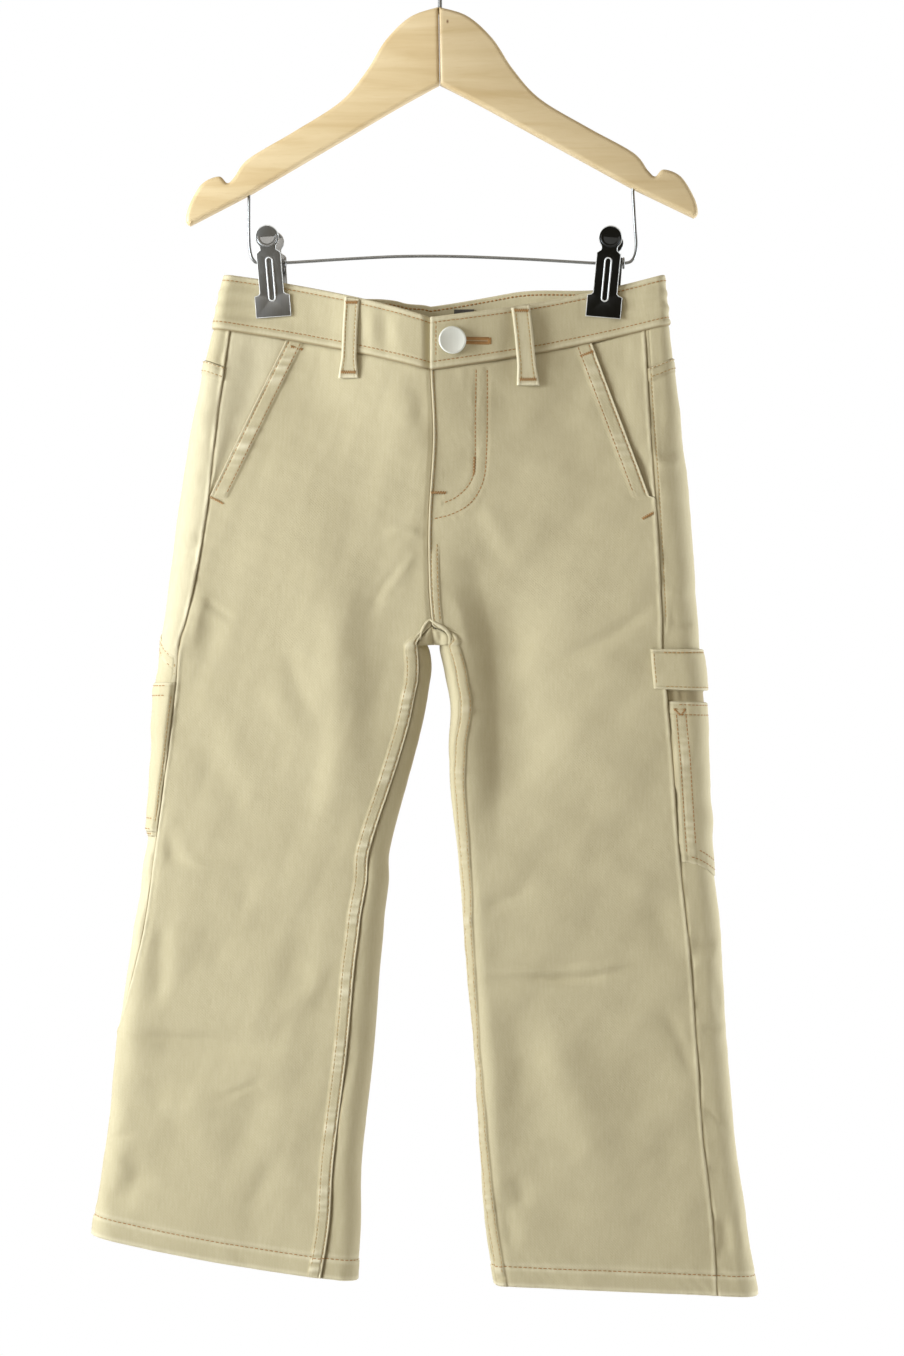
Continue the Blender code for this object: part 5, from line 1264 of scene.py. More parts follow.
def pocket_facing(side):
    """The cloth behind the slanted mouth, flush at the side seam."""
    levels = level_rows(side, 1.0, MOUTH_END, 1.6)
    starts = outseam_turn(side, levels)
    mouth = mouth_turn(side, levels)
    row = section(side, levels)
    ends = turn_of(across_of(mouth) * row["width"] + 10.0, row["width"])
    turns, near, _ = spread(side, starts, ends, levels, 16, EDGE_OFFSETS[:14])
    grid = np.broadcast_to(levels[:, None], turns.shape)
    points = cloth(side, turns, grid)
    normals = outward(side, turns, grid)
    s = -points[..., 2]
    relief = Relief(turns.shape)
    seed = 130 if side == "right" else 140
    if side == "right":
        relief.sunk(near, s, seed)
    else:
        relief.ridge(near, s, seed, 0.85)
    part = (turns - starts[:, None]) / (mouth - starts)[:, None]
    relief.height -= 1.15 * step((part - 0.25) / 0.7)
    top = s - s[:1]
    relief.height -= 0.5 * (1.0 - step(top / 2.5))
    # Painted shade under the waistband and where the facing passes under the mouth
    relief.painted_shade += bead(top, 0.0, 0.8, 0.8) + 0.35 * step((part - 0.93) / 0.07)
    # paler by colour on the right, where the light falls short
    relief.wear_and_painted_light += 0.4 if side == "right" else 0.0
    final = raised(points, normals, relief, seed, crease_rise(points, turns, grid, side))
    grid_piece("pocket_facing_" + side + "_twill", TWILL, ["pocket_facing_" + side], final, normals, relief,
               cloth_uv(side, turns, grid, points), 0.8)


# ---------------------------------------------------------------- the waistband

BAND_ROUND = 1.15
BAND_RELIEF = 0.6
UNDERLAP_TURN = 0.74
UNDERLAP_INSET = 2.8
BAND_ROW_TOP = 2.5
BAND_ROW_FOOT = 4.6
BAND_ROLL = 3.3
# Soft upright folds of the band: where each lies, its half width and its rise
BAND_FOLDS = [(-42.0, 4.0, 0.9), (-33.0, 4.0, -0.8), (-24.0, 5.0, 0.6), (-86.0, 10.0, 0.5),
              (-68.0, 6.0, -0.5), (24.0, 6.0, -0.6), (36.0, 5.0, 0.6), (66.0, 6.0, -0.7),
              (80.0, 9.0, 0.6), (112.0, 7.0, -0.5)]


def band_path(pitch):
    """Side, turn and inset for columns an even way apart, once round the waist and under the front."""
    stretches = [("left", 1.0, 0.0), ("left", 2.0, 1.0 + TINY),
                 ("right", 1.0 + TINY, 2.0), ("right", 0.0, 1.0)]
    places = []
    for side, first, last in stretches:
        turns = np.linspace(first, last, 400)
        points = cloth(side, turns, 0.5)
        arc = np.concatenate([[0.0], np.cumsum(np.linalg.norm(np.diff(points, axis=0), axis=-1))])
        count = int(arc[-1] / pitch)
        found = np.interp(np.linspace(0.0, arc[-1], count + 1), arc, turns)
        keep = found if not places else found[1:]
        for turn in keep:
            inset = 0.0
            if side == "right" and first == 0.0:
                inset = UNDERLAP_INSET * float(step((turn - 0.86) / 0.1))
            places.append((side, float(turn), inset))
    for turn in np.linspace(1.0, UNDERLAP_TURN, 24)[1:]:
        places.append(("left", float(turn), UNDERLAP_INSET))
    return places


def waistband():
    places = band_path(0.9)
    count = len(places)
    sides = np.array([p[0] for p in places])
    turns = np.array([p[1] for p in places])
    insets = np.array([p[2] for p in places])
    rows = np.linspace(0.0, 1.0, 40)
    outer = np.zeros((len(rows), count, 3))
    normals = np.zeros_like(outer)
    for side in ("left", "right"):
        mask = sides == side
        grid = np.broadcast_to(rows[:, None], (len(rows), int(mask.sum())))
        here = np.broadcast_to(turns[mask], grid.shape)
        outer[:, mask] = cloth(side, here, grid)
        normals[:, mask] = outward(side, here, np.maximum(grid, 0.03))
    ends = np.linalg.norm(np.diff(outer[20], axis=0), axis=-1)
    along = np.concatenate([[0.0], np.cumsum(ends)])
    s = np.broadcast_to(along, outer.shape[:2])
    span = np.linalg.norm(np.diff(outer, axis=0), axis=-1)
    from_top = np.concatenate([np.zeros((1, count)), np.cumsum(span, axis=0)])
    from_foot = from_top[-1:] - from_top
    relief = Relief(outer.shape[:2])
    relief.height += BAND_RELIEF - insets[None]
    relief.height += (0.16 * soft_noise(s, from_top * 2.0, 46.0, 201)
                      + 0.06 * soft_noise(s, from_top, 15.0, 202))
    relief.height += 0.3 * waves(s, 17.0, 203) * bead(from_top, 14.0, 8.0, 1.0)
    relief.row(from_top, BAND_ROW_TOP, s, 204, 0.14)
    relief.row(from_foot, BAND_ROW_FOOT, s, 205, 0.16)
    relief.height += bead(from_foot, BAND_ROLL - 1.7, 1.3, 0.3) * (0.6 + 0.8 * waves(s, 23.0, 206))
    relief.height -= 0.35 * (1.0 - step(from_foot / 1.2))
    relief.wear_and_painted_light += (bead(from_top, 0.6, 0.9, 0.5)
                    + bead(from_foot, 1.7, 1.0, 0.5) * (0.6 + 0.5 * waves(s, 31.0, 207)))
    # Painted shade along the band's lower edge
    relief.painted_shade += bead(from_foot, 0.0, 0.6, 0.9)
    at_end = np.array([float(section(side, 0.5)["width"] * across_of(turn))
                       for side, turn in zip(sides, turns)])
    front = (turns <= 1.0) & (insets < 0.5 * UNDERLAP_INSET)
    ripple = np.where(front, (1.0 - step((at_end - 12.0) / 34.0)), 0.0)[None]
    wave = np.sin(2 * np.pi * (from_top / 9.2 + 0.012 * at_end[None] + 0.1))
    relief.height += 0.5 * ripple * wave * step(from_top / 5.0)
    for centre, half, rise in BAND_FOLDS:
        here = np.where(front, bead(outer[20, :, 0], centre, half, rise), 0.0)[None]
        relief.height += here * bead(from_top, 16.0, 13.0, 1.0)
    from_end = s
    relief.height += (bead(from_end, 0.8, 0.8, 0.25) - 0.4 * (1.0 - step(from_end / 0.6))
                      - bead(from_end, 3.8, 0.45, 0.25))
    relief.wear_and_painted_light += bead(from_end, 0.8, 0.7, 0.9)
    face = outer + normals * relief.height[..., None]
    down = unit(outer[3] - outer[0])
    layers = []
    for angle in np.linspace(0.0, np.pi, 7)[1:-1]:
        shift = -normals[0] * BAND_ROUND * (1.0 - np.cos(angle)) - down * BAND_ROUND * np.sin(angle)
        layers.append(face[0] + shift)
    crown = np.array(layers)
    inner = face - normals * 2.0 * BAND_ROUND
    foot = []
    foot_down = unit(outer[-1] - outer[-4])
    for angle in np.linspace(0.0, np.pi, 5)[1:-1]:
        inward = normals[-1] * BAND_ROUND * (1.0 - np.cos(angle))
        foot.append(face[-1] - inward + foot_down * 0.5 * np.sin(angle))
    foot = np.array(foot)
    loop = np.concatenate([inner[::-3][::-1][::-1], crown[::-1], face, foot])
    h, w = loop.shape[:2]
    reliefs = {}
    n_inner = len(inner[::-3])
    for key in ("wear_and_painted_light", "painted_shade"):
        value = getattr(relief, key)
        over_crown = np.repeat(value[:1], len(crown), axis=0)
        over_foot = np.repeat(value[-1:], len(foot), axis=0)
        whole = np.concatenate([np.zeros((n_inner, w)), over_crown, value, over_foot])
        reliefs[key] = np.clip(whole, 0, 1.1)
    uv = np.stack([np.broadcast_to(along, (h, w)), loop[..., 2]], axis=-1)
    mid = loop[n_inner + len(crown):]
    flip = not faces_out(mid[:len(face)], normals)
    faces = grid_faces(h, w, flip)
    closing = []
    for c in range(w - 1):
        quad = [(h - 1) * w + c, (h - 1) * w + c + 1, c + 1, c]
        closing.append(quad[::-1] if flip else quad)
    start_cap = [r * w for r in range(h)]
    end_cap = [r * w + w - 1 for r in range(h)]
    faces += closing + [start_cap if flip else start_cap[::-1], end_cap[::-1] if flip else end_cap]
    obj = make_mesh("waistband_twill", loop.reshape(-1, 3), faces, {k: v.ravel() for k, v in reliefs.items()},
                    uv.reshape(-1, 2))
    obj.data.set_sharp_from_angle(angle=math.radians(60.0))
    obj.data.materials.append(TWILL)
    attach(obj, "root")
    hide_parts("waistband")
    return face, inner, normals, along, from_top, from_foot


# ---------------------------------------------------------------- stitches

BEAD_RINGS = [(-1.0, 0.25), (-0.72, 0.85), (0.0, 1.0), (0.72, 0.85), (1.0, 0.25)]
BEAD_SIDES = 6


def stitch_places(points, normals, pitch, skip_ends=0.0):
    """Even places along a line, with the way along and outward at each."""
    points = np.asarray(points)
    steps = np.linalg.norm(np.diff(points, axis=0), axis=-1)
    arc = np.concatenate([[0.0], np.cumsum(steps)])
    count = max(int((arc[-1] - 2 * skip_ends) / pitch), 1)
    at = skip_ends + (np.arange(count) + 0.5) * pitch
    centre = np.stack([np.interp(at, arc, points[:, k]) for k in range(3)], axis=-1)
    ahead = np.stack([np.interp(at + 0.4 * pitch, arc, points[:, k]) for k in range(3)], axis=-1)
    behind = np.stack([np.interp(at - 0.4 * pitch, arc, points[:, k]) for k in range(3)], axis=-1)
    out = unit(np.stack([np.interp(at, arc, normals[:, k]) for k in range(3)], axis=-1))
    return centre, unit(ahead - behind), out


class Thread:
    """Rows of stitches gathered into one mesh."""

    def __init__(self):
        self.parts = []

    def row(self, points, normals, pitch=2.9, length=2.35, radius=0.38, sink=0.06, skip_ends=0.0):
        if len(points) < 2:
            return
        centre, way, out = stitch_places(points, normals, pitch, skip_ends)
        self.beads(centre, way, out, length, radius, sink)

    def beads(self, centre, way, out, length, radius, sink):
        across = unit(np.cross(way, out))
        up = np.cross(across, way)
        rings = []
        for along, size in BEAD_RINGS:
            for k in range(BEAD_SIDES):
                angle = 2 * np.pi * k / BEAD_SIDES
                offset = (across * (1.25 * radius * size * math.cos(angle))
                          + up * (radius * size * math.sin(angle)))
                arch = -0.35 * radius * along * along
                lift = arch - sink + 0.45 * radius
                rings.append(centre + way * (0.5 * length * along) + offset + out * lift)
        self.parts.append(np.stack(rings, axis=1))

    def tack(self, start, end, normal, width=2.0, turns=14, radius=0.26):
        """A bar tack: close stitches across a short bar."""
        start = np.asarray(start, float)
        end = np.asarray(end, float)
        normal = unit(np.asarray(normal, float))
        along = end - start
        across = unit(np.cross(along, normal))
        at = (np.arange(turns) + 0.5) / turns
        centre = start + at[:, None] * along
        lean = np.where(np.arange(turns) % 2 == 0, 1.0, -1.0)[:, None] * unit(along) * 0.35
        way = unit(across + lean)
        out = np.broadcast_to(normal, centre.shape)
        self.beads(centre, way, out, width, radius, -0.12)

    def build(self, name, material):
        beads = np.concatenate(self.parts)
        count, size = beads.shape[:2]
        template = []
        for r in range(len(BEAD_RINGS) - 1):
            for k in range(BEAD_SIDES):
                a = r * BEAD_SIDES + k
                b = r * BEAD_SIDES + (k + 1) % BEAD_SIDES
                template.append((a, b, b + BEAD_SIDES, a + BEAD_SIDES))
        caps = [tuple(range(BEAD_SIDES - 1, -1, -1)),
                tuple((len(BEAD_RINGS) - 1) * BEAD_SIDES + k for k in range(BEAD_SIDES))]
        quads = (np.array(template)[None] + (np.arange(count) * size)[:, None, None]).reshape(-1, 4).tolist()
        ends = np.array(caps)[None] + (np.arange(count) * size)[:, None, None]
        ends = ends.reshape(-1, BEAD_SIDES).tolist()
        obj = make_mesh(name, beads.reshape(-1, 3), quads + ends)
        obj.data.materials.append(material)
        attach(obj, "root")
        return obj


def ray_points(tree, xz, from_back=False):
    """Where lines along y through the given x and z meet a surface, in millimetres."""
    places = []
    normals = []
    for x, z in xz:
        start = Vector((x, 60.0 if from_back else -60.0, z)) * MM
        hit, normal, _, _ = tree.ray_cast(start, Vector((0.0, -1.0 if from_back else 1.0, 0.0)))
        if hit is None:
            continue
        outside = 1.0 if from_back else -1.0
        if normal.y * outside < 0:
            normal = -normal
        places.append(tuple(hit / MM))
        normals.append(tuple(normal))
    return np.array(places).reshape(-1, 3), np.array(normals).reshape(-1, 3)


def tree_of(*objects):
    """One search tree over several objects' meshes."""
    points = []
    faces = []
    for obj in objects:
        first = len(points)
        points += [vertex.co.copy() for vertex in obj.data.vertices]
        faces += [[first + i for i in polygon.vertices] for polygon in obj.data.polygons]
    return BVHTree.FromPolygons(points, faces)


# Places in the photograph, in pixels of its 904 by 1356 frame, and how they become millimetres
PX_MM = 0.625
AXIS_PX = 440.0
PHOTO_TOP = -57.0
BUTTON_PX = (452, 343)
BUTTONHOLE_PX = ((463, 343), (488, 343))
BAR_TACKS_PX = [
    ((474.5, 458), (474, 476)), ((431, 494), (446, 494)), ((291, 347), (303, 350)), ((212, 498), (225, 505)),
    ((580, 357), (593, 352)), ((641, 520), (652, 514)), ((193, 568), (191, 581)), ((663, 579), (664, 595)),
]
POCKET_TACKS_PX = [((672, 709), (684, 709)), ((673, 709), (679, 715)), ((684, 709), (680, 715))]
CROTCH_ROLLS_PX = {
    "right": [(431, 619), (426, 624), (422, 631), (420, 640)],
    "left": [(430, 620), (438, 625), (446, 630), (450, 637), (449, 645)],
}


def photo(*pixels):
    """Places in the photograph, as x and z in millimetres."""
    return [((px - AXIS_PX) * PX_MM, PHOTO_TOP - py * PX_MM) for px, py in pixels]


def line_on(tree, pixels, steps=16, from_back=False):
    return ray_points(tree, [tuple(p) for p in smooth_path(photo(*pixels), steps)], from_back)


# ---------------------------------------------------------------- small cloth pieces

def place_on(x, z, at_back):
    """The side, turns and levels of the cloth points seen at x and z, for points on one side."""
    x = np.asarray(x, float)
    z = np.asarray(z, float)
    side = "right" if float(np.mean(x)) < CENTRE_X else "left"
    low = np.zeros_like(x)
    high = np.full_like(x, HEM_LEVEL)
    turn = np.zeros_like(x)
    for _ in range(30):
        level = 0.5 * (low + high)
        row = section(side, level)
        part = np.clip((x - row["outer_x"]) / (row["inner_x"] - row["outer_x"]), 0.0, 1.0)
        turn = turn_of(part, 1.0)
        if at_back:
            turn = np.maximum(2.0 - turn, 1.0 + TINY)
        above = cloth(side, turn, level)[..., 2] > z
        low = np.where(above, level, low)
        high = np.where(above, high, level)
    return side, turn, level


def strip_piece(name, node, top, foot, widths, at_back, lift, wall, seed, thread=None):
    """A narrow folded strip from a top to a foot: its edges rolled, its middle a little sunk."""
    rows = 56
    columns = 26
    part = np.linspace(0.0, 1.0, rows)[:, None]
    aside = np.linspace(-1.0, 1.0, columns)[None]
    x = top[0] + (foot[0] - top[0]) * part
    z = top[1] + (foot[1] - top[1]) * part + 0.0 * aside
    half = 0.5 * (widths[0] + (widths[1] - widths[0]) * step((part - 0.7) / 0.3))
    x = x + half * aside
    side, turn, level = place_on(x, z, at_back)
    if abs(top[0] - CENTRE_X) < 8.0:
        side, turn, level = place_on(np.maximum(x, CENTRE_X + 0.1), z, at_back)
    points = cloth(side, turn, level)
    points[..., 0] = x
    normals = outward(side, turn, level)
    middle = columns // 2
    base = cloth(side, turn[:, middle][:, None] + 0.0 * aside, level[:, middle][:, None] + 0.0 * aside)
    points[..., 1] = 0.35 * points[..., 1] + 0.65 * base[..., 1]
    edge = np.minimum(half * (1.0 - np.abs(aside)), 20.0) + 0.0 * part
    s = -z
    relief = Relief(points.shape[:2])
    relief.height += lift + 1.5 * np.sin(np.pi * part)
    relief.height += 0.55 * step(edge / 1.0) - 0.25 * step((edge - 2.4) / 1.2) - bead(edge, 2.3, 0.45, 0.28)
    relief.height += 0.16 * waves(s, 6.0, seed) * bead(edge, 1.2, 1.0, 1.0)
    relief.wear_and_painted_light += bead(edge, 0.7, 0.9, 0.95) + 0.25 * step((edge - 2.6) / 2.0)
    # Painted shade along the stitch line near each edge
    relief.painted_shade += bead(edge, 2.3, 0.4, 0.3)
    end = np.minimum(part, 1.0 - part) * abs(foot[1] - top[1])
    relief.height -= 0.5 * (1.0 - step(end / 1.0)) + bead(end, 4.6, 0.7, 0.35)
    relief.wear_and_painted_light += bead(end, 0.8, 1.0, 0.8)
    final = points + normals * relief.height[..., None]
    uv = np.stack([x + 0.0 * part, z], axis=-1)
    obj = grid_piece(name, TWILL, [node], final, normals, relief, uv, wall)
    if thread is not None:
        for at in (0.19, 0.81):
            column = int(round(at * (columns - 1)))
            thread.row(final[3:-3, column], normals[3:-3, column], 2.6, 2.0, 0.26)
    return final, normals, obj


def patch_piece(name, nodes, side, column_range, top, foot, lift, seed, threads, hem=9.0,
                foot_rows=(1.8,), side_rows=(1.9,), sewn=False, worn_edge=0.55):
    """A flat piece sewn on the back panel round the outer fold, from column and level ranges."""
    columns = np.linspace(column_range[0], column_range[1], 84)
    part = np.linspace(0.0, 1.0, 92)[:, None]
    top_level = top(columns)[None]
    foot_level = foot(columns)[None]
    level = top_level + (foot_level - top_level) * part
    starts = np.maximum(inseam_turn(side, level), 0.0)
    starts = np.where(level <= CROTCH, 1.0 + TINY, starts)
    ends = 2.0 + outseam_turn(side, level)
    turns = starts + columns[None] * (ends - starts)
    points = cloth(side, turns, level)
    normals = outward(side, turns, level)
    run = np.concatenate([np.zeros((len(part), 1)),
                          np.cumsum(np.linalg.norm(np.diff(points, axis=1), axis=-1), axis=1)], axis=1)
    drop = np.concatenate([np.zeros((1, len(columns))),
                           np.cumsum(np.linalg.norm(np.diff(points, axis=0), axis=-1), axis=0)])
    near = run
    far = run[:, -1:] - run
    above = drop
    below = drop[-1:] - drop
    relief = Relief(points.shape[:2])
    edge = np.minimum(near, np.minimum(above, below))
    if not sewn:
        edge = np.minimum(edge, far)
    full = step(far / 3.2) if sewn else 1.0
    relief.height += full * (lift + 0.6 * step(edge / 0.9)) - 0.3 * (1.0 - step(edge / 0.4))
    if sewn:
        # Painted shade along the sewn edge
        relief.painted_shade += bead(far, 0.0, 0.6, 0.8)
    relief.height += 0.35 * soft_noise(0.5 * run, drop, 24.0, seed) * step((edge - 1.0) / 6.0)
    rows = [(above, 1.9), (above, hem)] + [(below, at) for at in foot_rows]
    rows += [(d, at) for d in (near, far) for at in side_rows]
    for d, at in rows:
        relief.row(d, at, drop if d is near or d is far else run, seed + 1, 0.16)
    if len(side_rows) > 1:
        between = step((far - side_rows[0]) / 1.0) * (1.0 - step((far - side_rows[1]) / 1.0))
        between = between * step((above - hem) / 2.0)
        relief.height += 0.5 * between * waves(drop, 7.0, seed + 2)
        relief.wear_and_painted_light += 0.6 * between * waves(drop, 7.0, seed + 2)
    relief.wear_and_painted_light += bead(edge, 0.8, 0.9, worn_edge) * (0.7 + 0.5 * waves(run + drop, 13.0, seed + 3))
    final = raised(points, normals, relief, seed, crease_rise(points, turns, level, side))
    uv = cloth_uv(side, turns, level, points)
    obj = grid_piece(name, TWILL, nodes, final, normals, relief, uv, 0.8)
    threads_top, threads_side = threads
    corner = dict(zip(foot_rows, side_rows))
    for d, at in rows:
        path = []
        outs = []
        if d is above or d is below:
            inset = corner.get(at, 0.0) if d is below else 0.0
            for c in range(4, final.shape[1] - 4):
                if min(near[-1, c], far[-1, c]) < inset:
                    continue
                column = d[:, c] if d is above else d[::-1, c]
                values = final[:, c] if d is above else final[::-1, c]
                outer = normals[:, c] if d is above else normals[::-1, c]
                path.append([np.interp(at, column, values[:, k]) for k in range(3)])
                outs.append([np.interp(at, column, outer[:, k]) for k in range(3)])
            threads_top.row(np.array(path), np.array(outs), 2.7, 2.1, 0.26)
        else:
            stop = dict(zip(side_rows, foot_rows)).get(at, 0.0)
            for r in range(4, final.shape[0] - 4):
                if below[r, -1] < stop or above[r, 0] < hem:
                    continue
                line = d[r] if d is near else d[r, ::-1]
                values = final[r] if d is near else final[r, ::-1]
                outer = normals[r] if d is near else normals[r, ::-1]
                path.append([np.interp(at, line, values[:, k]) for k in range(3)])
                outs.append([np.interp(at, line, outer[:, k]) for k in range(3)])
            threads_side.row(np.array(path), np.array(outs), 2.7, 2.1, 0.26)
    return obj


def roll_piece(name, pixels, tree, radius):
    """A short roll of folded cloth that lies on others, thin at its ends."""
    places, outs = line_on(tree, pixels, 8)
    met = places[:, 1] < np.median(places[:, 1]) + 3.0
    index = np.arange(len(places))
    places[:, 1] = np.polyval(np.polyfit(index[met], places[met, 1], 2), index)
    outs = np.broadcast_to([0.0, -1.0, 0.0], places.shape)
    way = unit(np.gradient(places, axis=0))
    across = unit(np.cross(way, outs))
    part = np.linspace(0.0, 1.0, len(places))
    size = radius * (0.35 + 0.65 * np.sin(np.pi * part) ** 0.6)
    angles = np.linspace(0.0, 2.0 * np.pi, 19)
    points = (places[:, None] + across[:, None] * (size[:, None] * np.cos(angles))[..., None]
              + outs[:, None] * (0.8 * size[:, None] * np.sin(angles) + 0.25 * radius)[..., None])
    normals = unit(across[:, None] * np.cos(angles)[None, :, None]
                   + outs[:, None] * np.sin(angles)[None, :, None])
    relief = Relief(points.shape[:2])
    relief.wear_and_painted_light += 0.5 * np.maximum(np.sin(angles), 0.0)[None] * (0.5 + waves(part * 20.0, 5.0, 9)[:, None])
    # Painted shade on the half that lies against the cloth
    relief.painted_shade += 0.8 * (1.0 - np.maximum(np.sin(angles), 0.0) ** 0.5)[None]
    run = np.concatenate([[0.0], np.cumsum(np.linalg.norm(np.diff(places, axis=0), axis=-1))])
    uv = np.stack([radius * np.broadcast_to(angles, points.shape[:2]), -run[:, None] + 0.0 * angles], axis=-1)
    flip = not faces_out(points, normals)
    values = {"wear_and_painted_light": relief.wear_and_painted_light, "painted_shade": np.clip(relief.painted_shade, 0, 1)}
    faces = grid_faces(len(places), len(angles), flip)
    obj = make_mesh(name, points.reshape(-1, 3), faces, values, uv.reshape(-1, 2))
    return finish_cloth(obj, TWILL, [], 0.0)


def crotch_rolls():
    """The thick ends of the seams where all four panels meet."""
    panels = [part + side + "_twill" for part in ("front_", "back_") for side in ("right", "left")]
    tree = tree_of(*[bpy.data.objects[name] for name in panels])
    roll_piece("crotch_roll_right", CROTCH_ROLLS_PX["right"], tree, 1.0)
    roll_piece("crotch_roll_left", CROTCH_ROLLS_PX["left"], tree, 1.35)


# ---------------------------------------------------------------- hardware

def turned_piece(name, profile, matrix, material, nodes, sides=64):
    """A body turned about z from rows of radius and height."""
    points = []
    for radius, height in profile:
        for k in range(sides):
            angle = 2 * np.pi * k / sides
            points.append((radius * math.cos(angle), radius * math.sin(angle), height))
    faces = []
    for r in range(len(profile) - 1):
        for k in range(sides):
            a = r * sides + k
            b = r * sides + (k + 1) % sides
            faces.append((a, b, b + sides, a + sides))
    faces.append(tuple(range(sides))[::-1])
    faces.append(tuple((len(profile) - 1) * sides + k for k in range(sides)))
    obj = make_mesh(name, points, faces)
    mesh = bmesh.new()
    mesh.from_mesh(obj.data)
    bmesh.ops.remove_doubles(mesh, verts=mesh.verts, dist=0.0000001)
    bmesh.ops.recalc_face_normals(mesh, faces=mesh.faces)
    mesh.to_mesh(obj.data)
    mesh.free()
    obj.data.shade_smooth()
    obj.data.set_sharp_from_angle(angle=math.radians(50.0))
    obj.data.transform(matrix)
    obj.data.materials.append(material)
    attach(obj, "root")
    if nodes:
        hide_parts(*nodes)
    return obj


def wire_piece(name, route, radius, material, nodes, cyclic=False):
    """A round wire along a list of points, in millimetres."""
    curve = bpy.data.curves.new(name, "CURVE")
    curve.dimensions = "3D"
    curve.bevel_depth = radius * MM
    curve.bevel_resolution = 4
    curve.use_fill_caps = True
    path = curve.splines.new("POLY")
    path.points.add(len(route) - 1)
    path.use_cyclic_u = cyclic
    for point, place in zip(path.points, route):
        point.co = (*[float(value) * MM for value in place], 1.0)
    obj = bpy.data.objects.new(name, curve)
    bpy.context.scene.collection.objects.link(obj)
    bpy.context.view_layer.update()
    graph = bpy.context.evaluated_depsgraph_get()
    data = bpy.data.meshes.new_from_object(obj.evaluated_get(graph))
    bpy.data.objects.remove(obj, do_unlink=True)
    data.name = name
    data.materials.clear()
    data.materials.append(material)
    made = bpy.data.objects.new(name, data)
    bpy.context.scene.collection.objects.link(made)
    data.shade_smooth()
    data.set_sharp_from_angle(angle=math.radians(50.0))
    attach(made, "root")
    if nodes:
        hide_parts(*nodes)
    return made


def plate_mesh(outlines, thickness, edge, resolution=3):
    """A plate in the XZ plane from closed outlines, its edges rounded, as a bmesh in millimetres."""
    curve = bpy.data.curves.new("outline", "CURVE")
    curve.dimensions = "2D"
    curve.fill_mode = "BOTH"
    curve.extrude = 0.5 * thickness - edge
    curve.bevel_depth = edge
    curve.bevel_resolution = resolution
    curve.offset = -edge
    for outline in outlines:
        path = curve.splines.new("POLY")
        path.points.add(len(outline) - 1)
        path.use_cyclic_u = True
        for point, (x, z) in zip(path.points, outline):
            point.co = (x, z, 0.0, 1.0)
    obj = bpy.data.objects.new("outline", curve)
    bpy.context.scene.collection.objects.link(obj)
    bpy.context.view_layer.update()
    graph = bpy.context.evaluated_depsgraph_get()
    data = bpy.data.meshes.new_from_object(obj.evaluated_get(graph))
    bpy.data.objects.remove(obj, do_unlink=True)
    mesh = bmesh.new()
    mesh.from_mesh(data)
    bmesh.ops.remove_doubles(mesh, verts=mesh.verts, dist=0.001)
    mesh.transform(Matrix.Rotation(math.radians(90.0), 4, "X"))
    return mesh


def mesh_piece(name, mesh, material, nodes, angle=40.0):
    """A bmesh in millimetres as a shown piece."""
    mesh.transform(Matrix.Scale(MM, 4))
    bmesh.ops.recalc_face_normals(mesh, faces=mesh.faces)
    data = bpy.data.meshes.new(name)
    mesh.to_mesh(data)
    mesh.free()
    data.materials.append(material)
    data.shade_smooth()
    data.set_sharp_from_angle(angle=math.radians(angle))
    obj = bpy.data.objects.new(name, data)
    bpy.context.scene.collection.objects.link(obj)
    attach(obj, "root")
    if nodes:
        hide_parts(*nodes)
    return obj


# The hanger, with z from the top of the wood
WOOD_TOP = -62.0
WOOD_THICKNESS = 12.0
WOOD_EDGE = 2.6
HANGER_TILT = math.radians(-0.9)
HANGER_PIVOT = Vector((0.0, 0.0, -117.0))
UPPER_EDGE = [(17.8, -5.9), (33.4, -20.3), (45.9, -39.7), (62.5, -58.4), (91.9, -76.6), (120.0, -92.8),
              (129.0, -104.0), (133.5, -107.8), (138.8, -103.6), (149.5, -108.2), (157.6, -121.5)]
TIP = [(159.8, -131.0), (157.4, -133.8)]
LOWER_EDGE = [(119.7, -115.0), (55.9, -78.8), (23.8, -60.6)]
LOWER_CENTRE = -48.1
HOOK_RADIUS = 1.3
HOOK_CROOK = 19.0
HOOK_SHANK_DEPTH = 4.0
HOOK_NECK = [(0.0, -30.0), (1.2, -25.5), (6.2, -19.2)]
HOOK_NECK_ANGLE = math.radians(-38.0)
HOOK_SWEEP = math.radians(238.0)
BAR_RADIUS = 0.95
BAR_ROUTE = [(-119.4, -178.2), (-119.4, -203.0), (-118.6, -214.5), (-116.4, -219.8), (-112.5, -221.2),
             (-96.0, -221.2), (-60.0, -219.0), (-25.0, -217.3), (10.0, -217.3), (50.0, -218.8),
             (85.0, -220.8), (96.0, -221.4), (114.0, -221.6), (120.3, -219.4), (122.6, -212.0),
             (122.0, -200.0), (120.6, -177.6)]
STOP_X = {"right": -96.6, "left": 114.7}
STOP_RADIUS = 3.7
STOP_WIDTH = 1.2


def arm_outline(direction):
    joint = 0.12
    top = [tuple(p) for p in smooth_path([(0.0, 0.0)] + UPPER_EDGE + TIP, 10)]
    below = [tuple(p) for p in smooth_path(LOWER_EDGE + [(joint, LOWER_CENTRE)], 6)]
    outline = [(joint, 0.0)] + [point for point in top if point[0] > 2.6] + below
    return [(direction * x, z + WOOD_TOP) for x, z in outline]


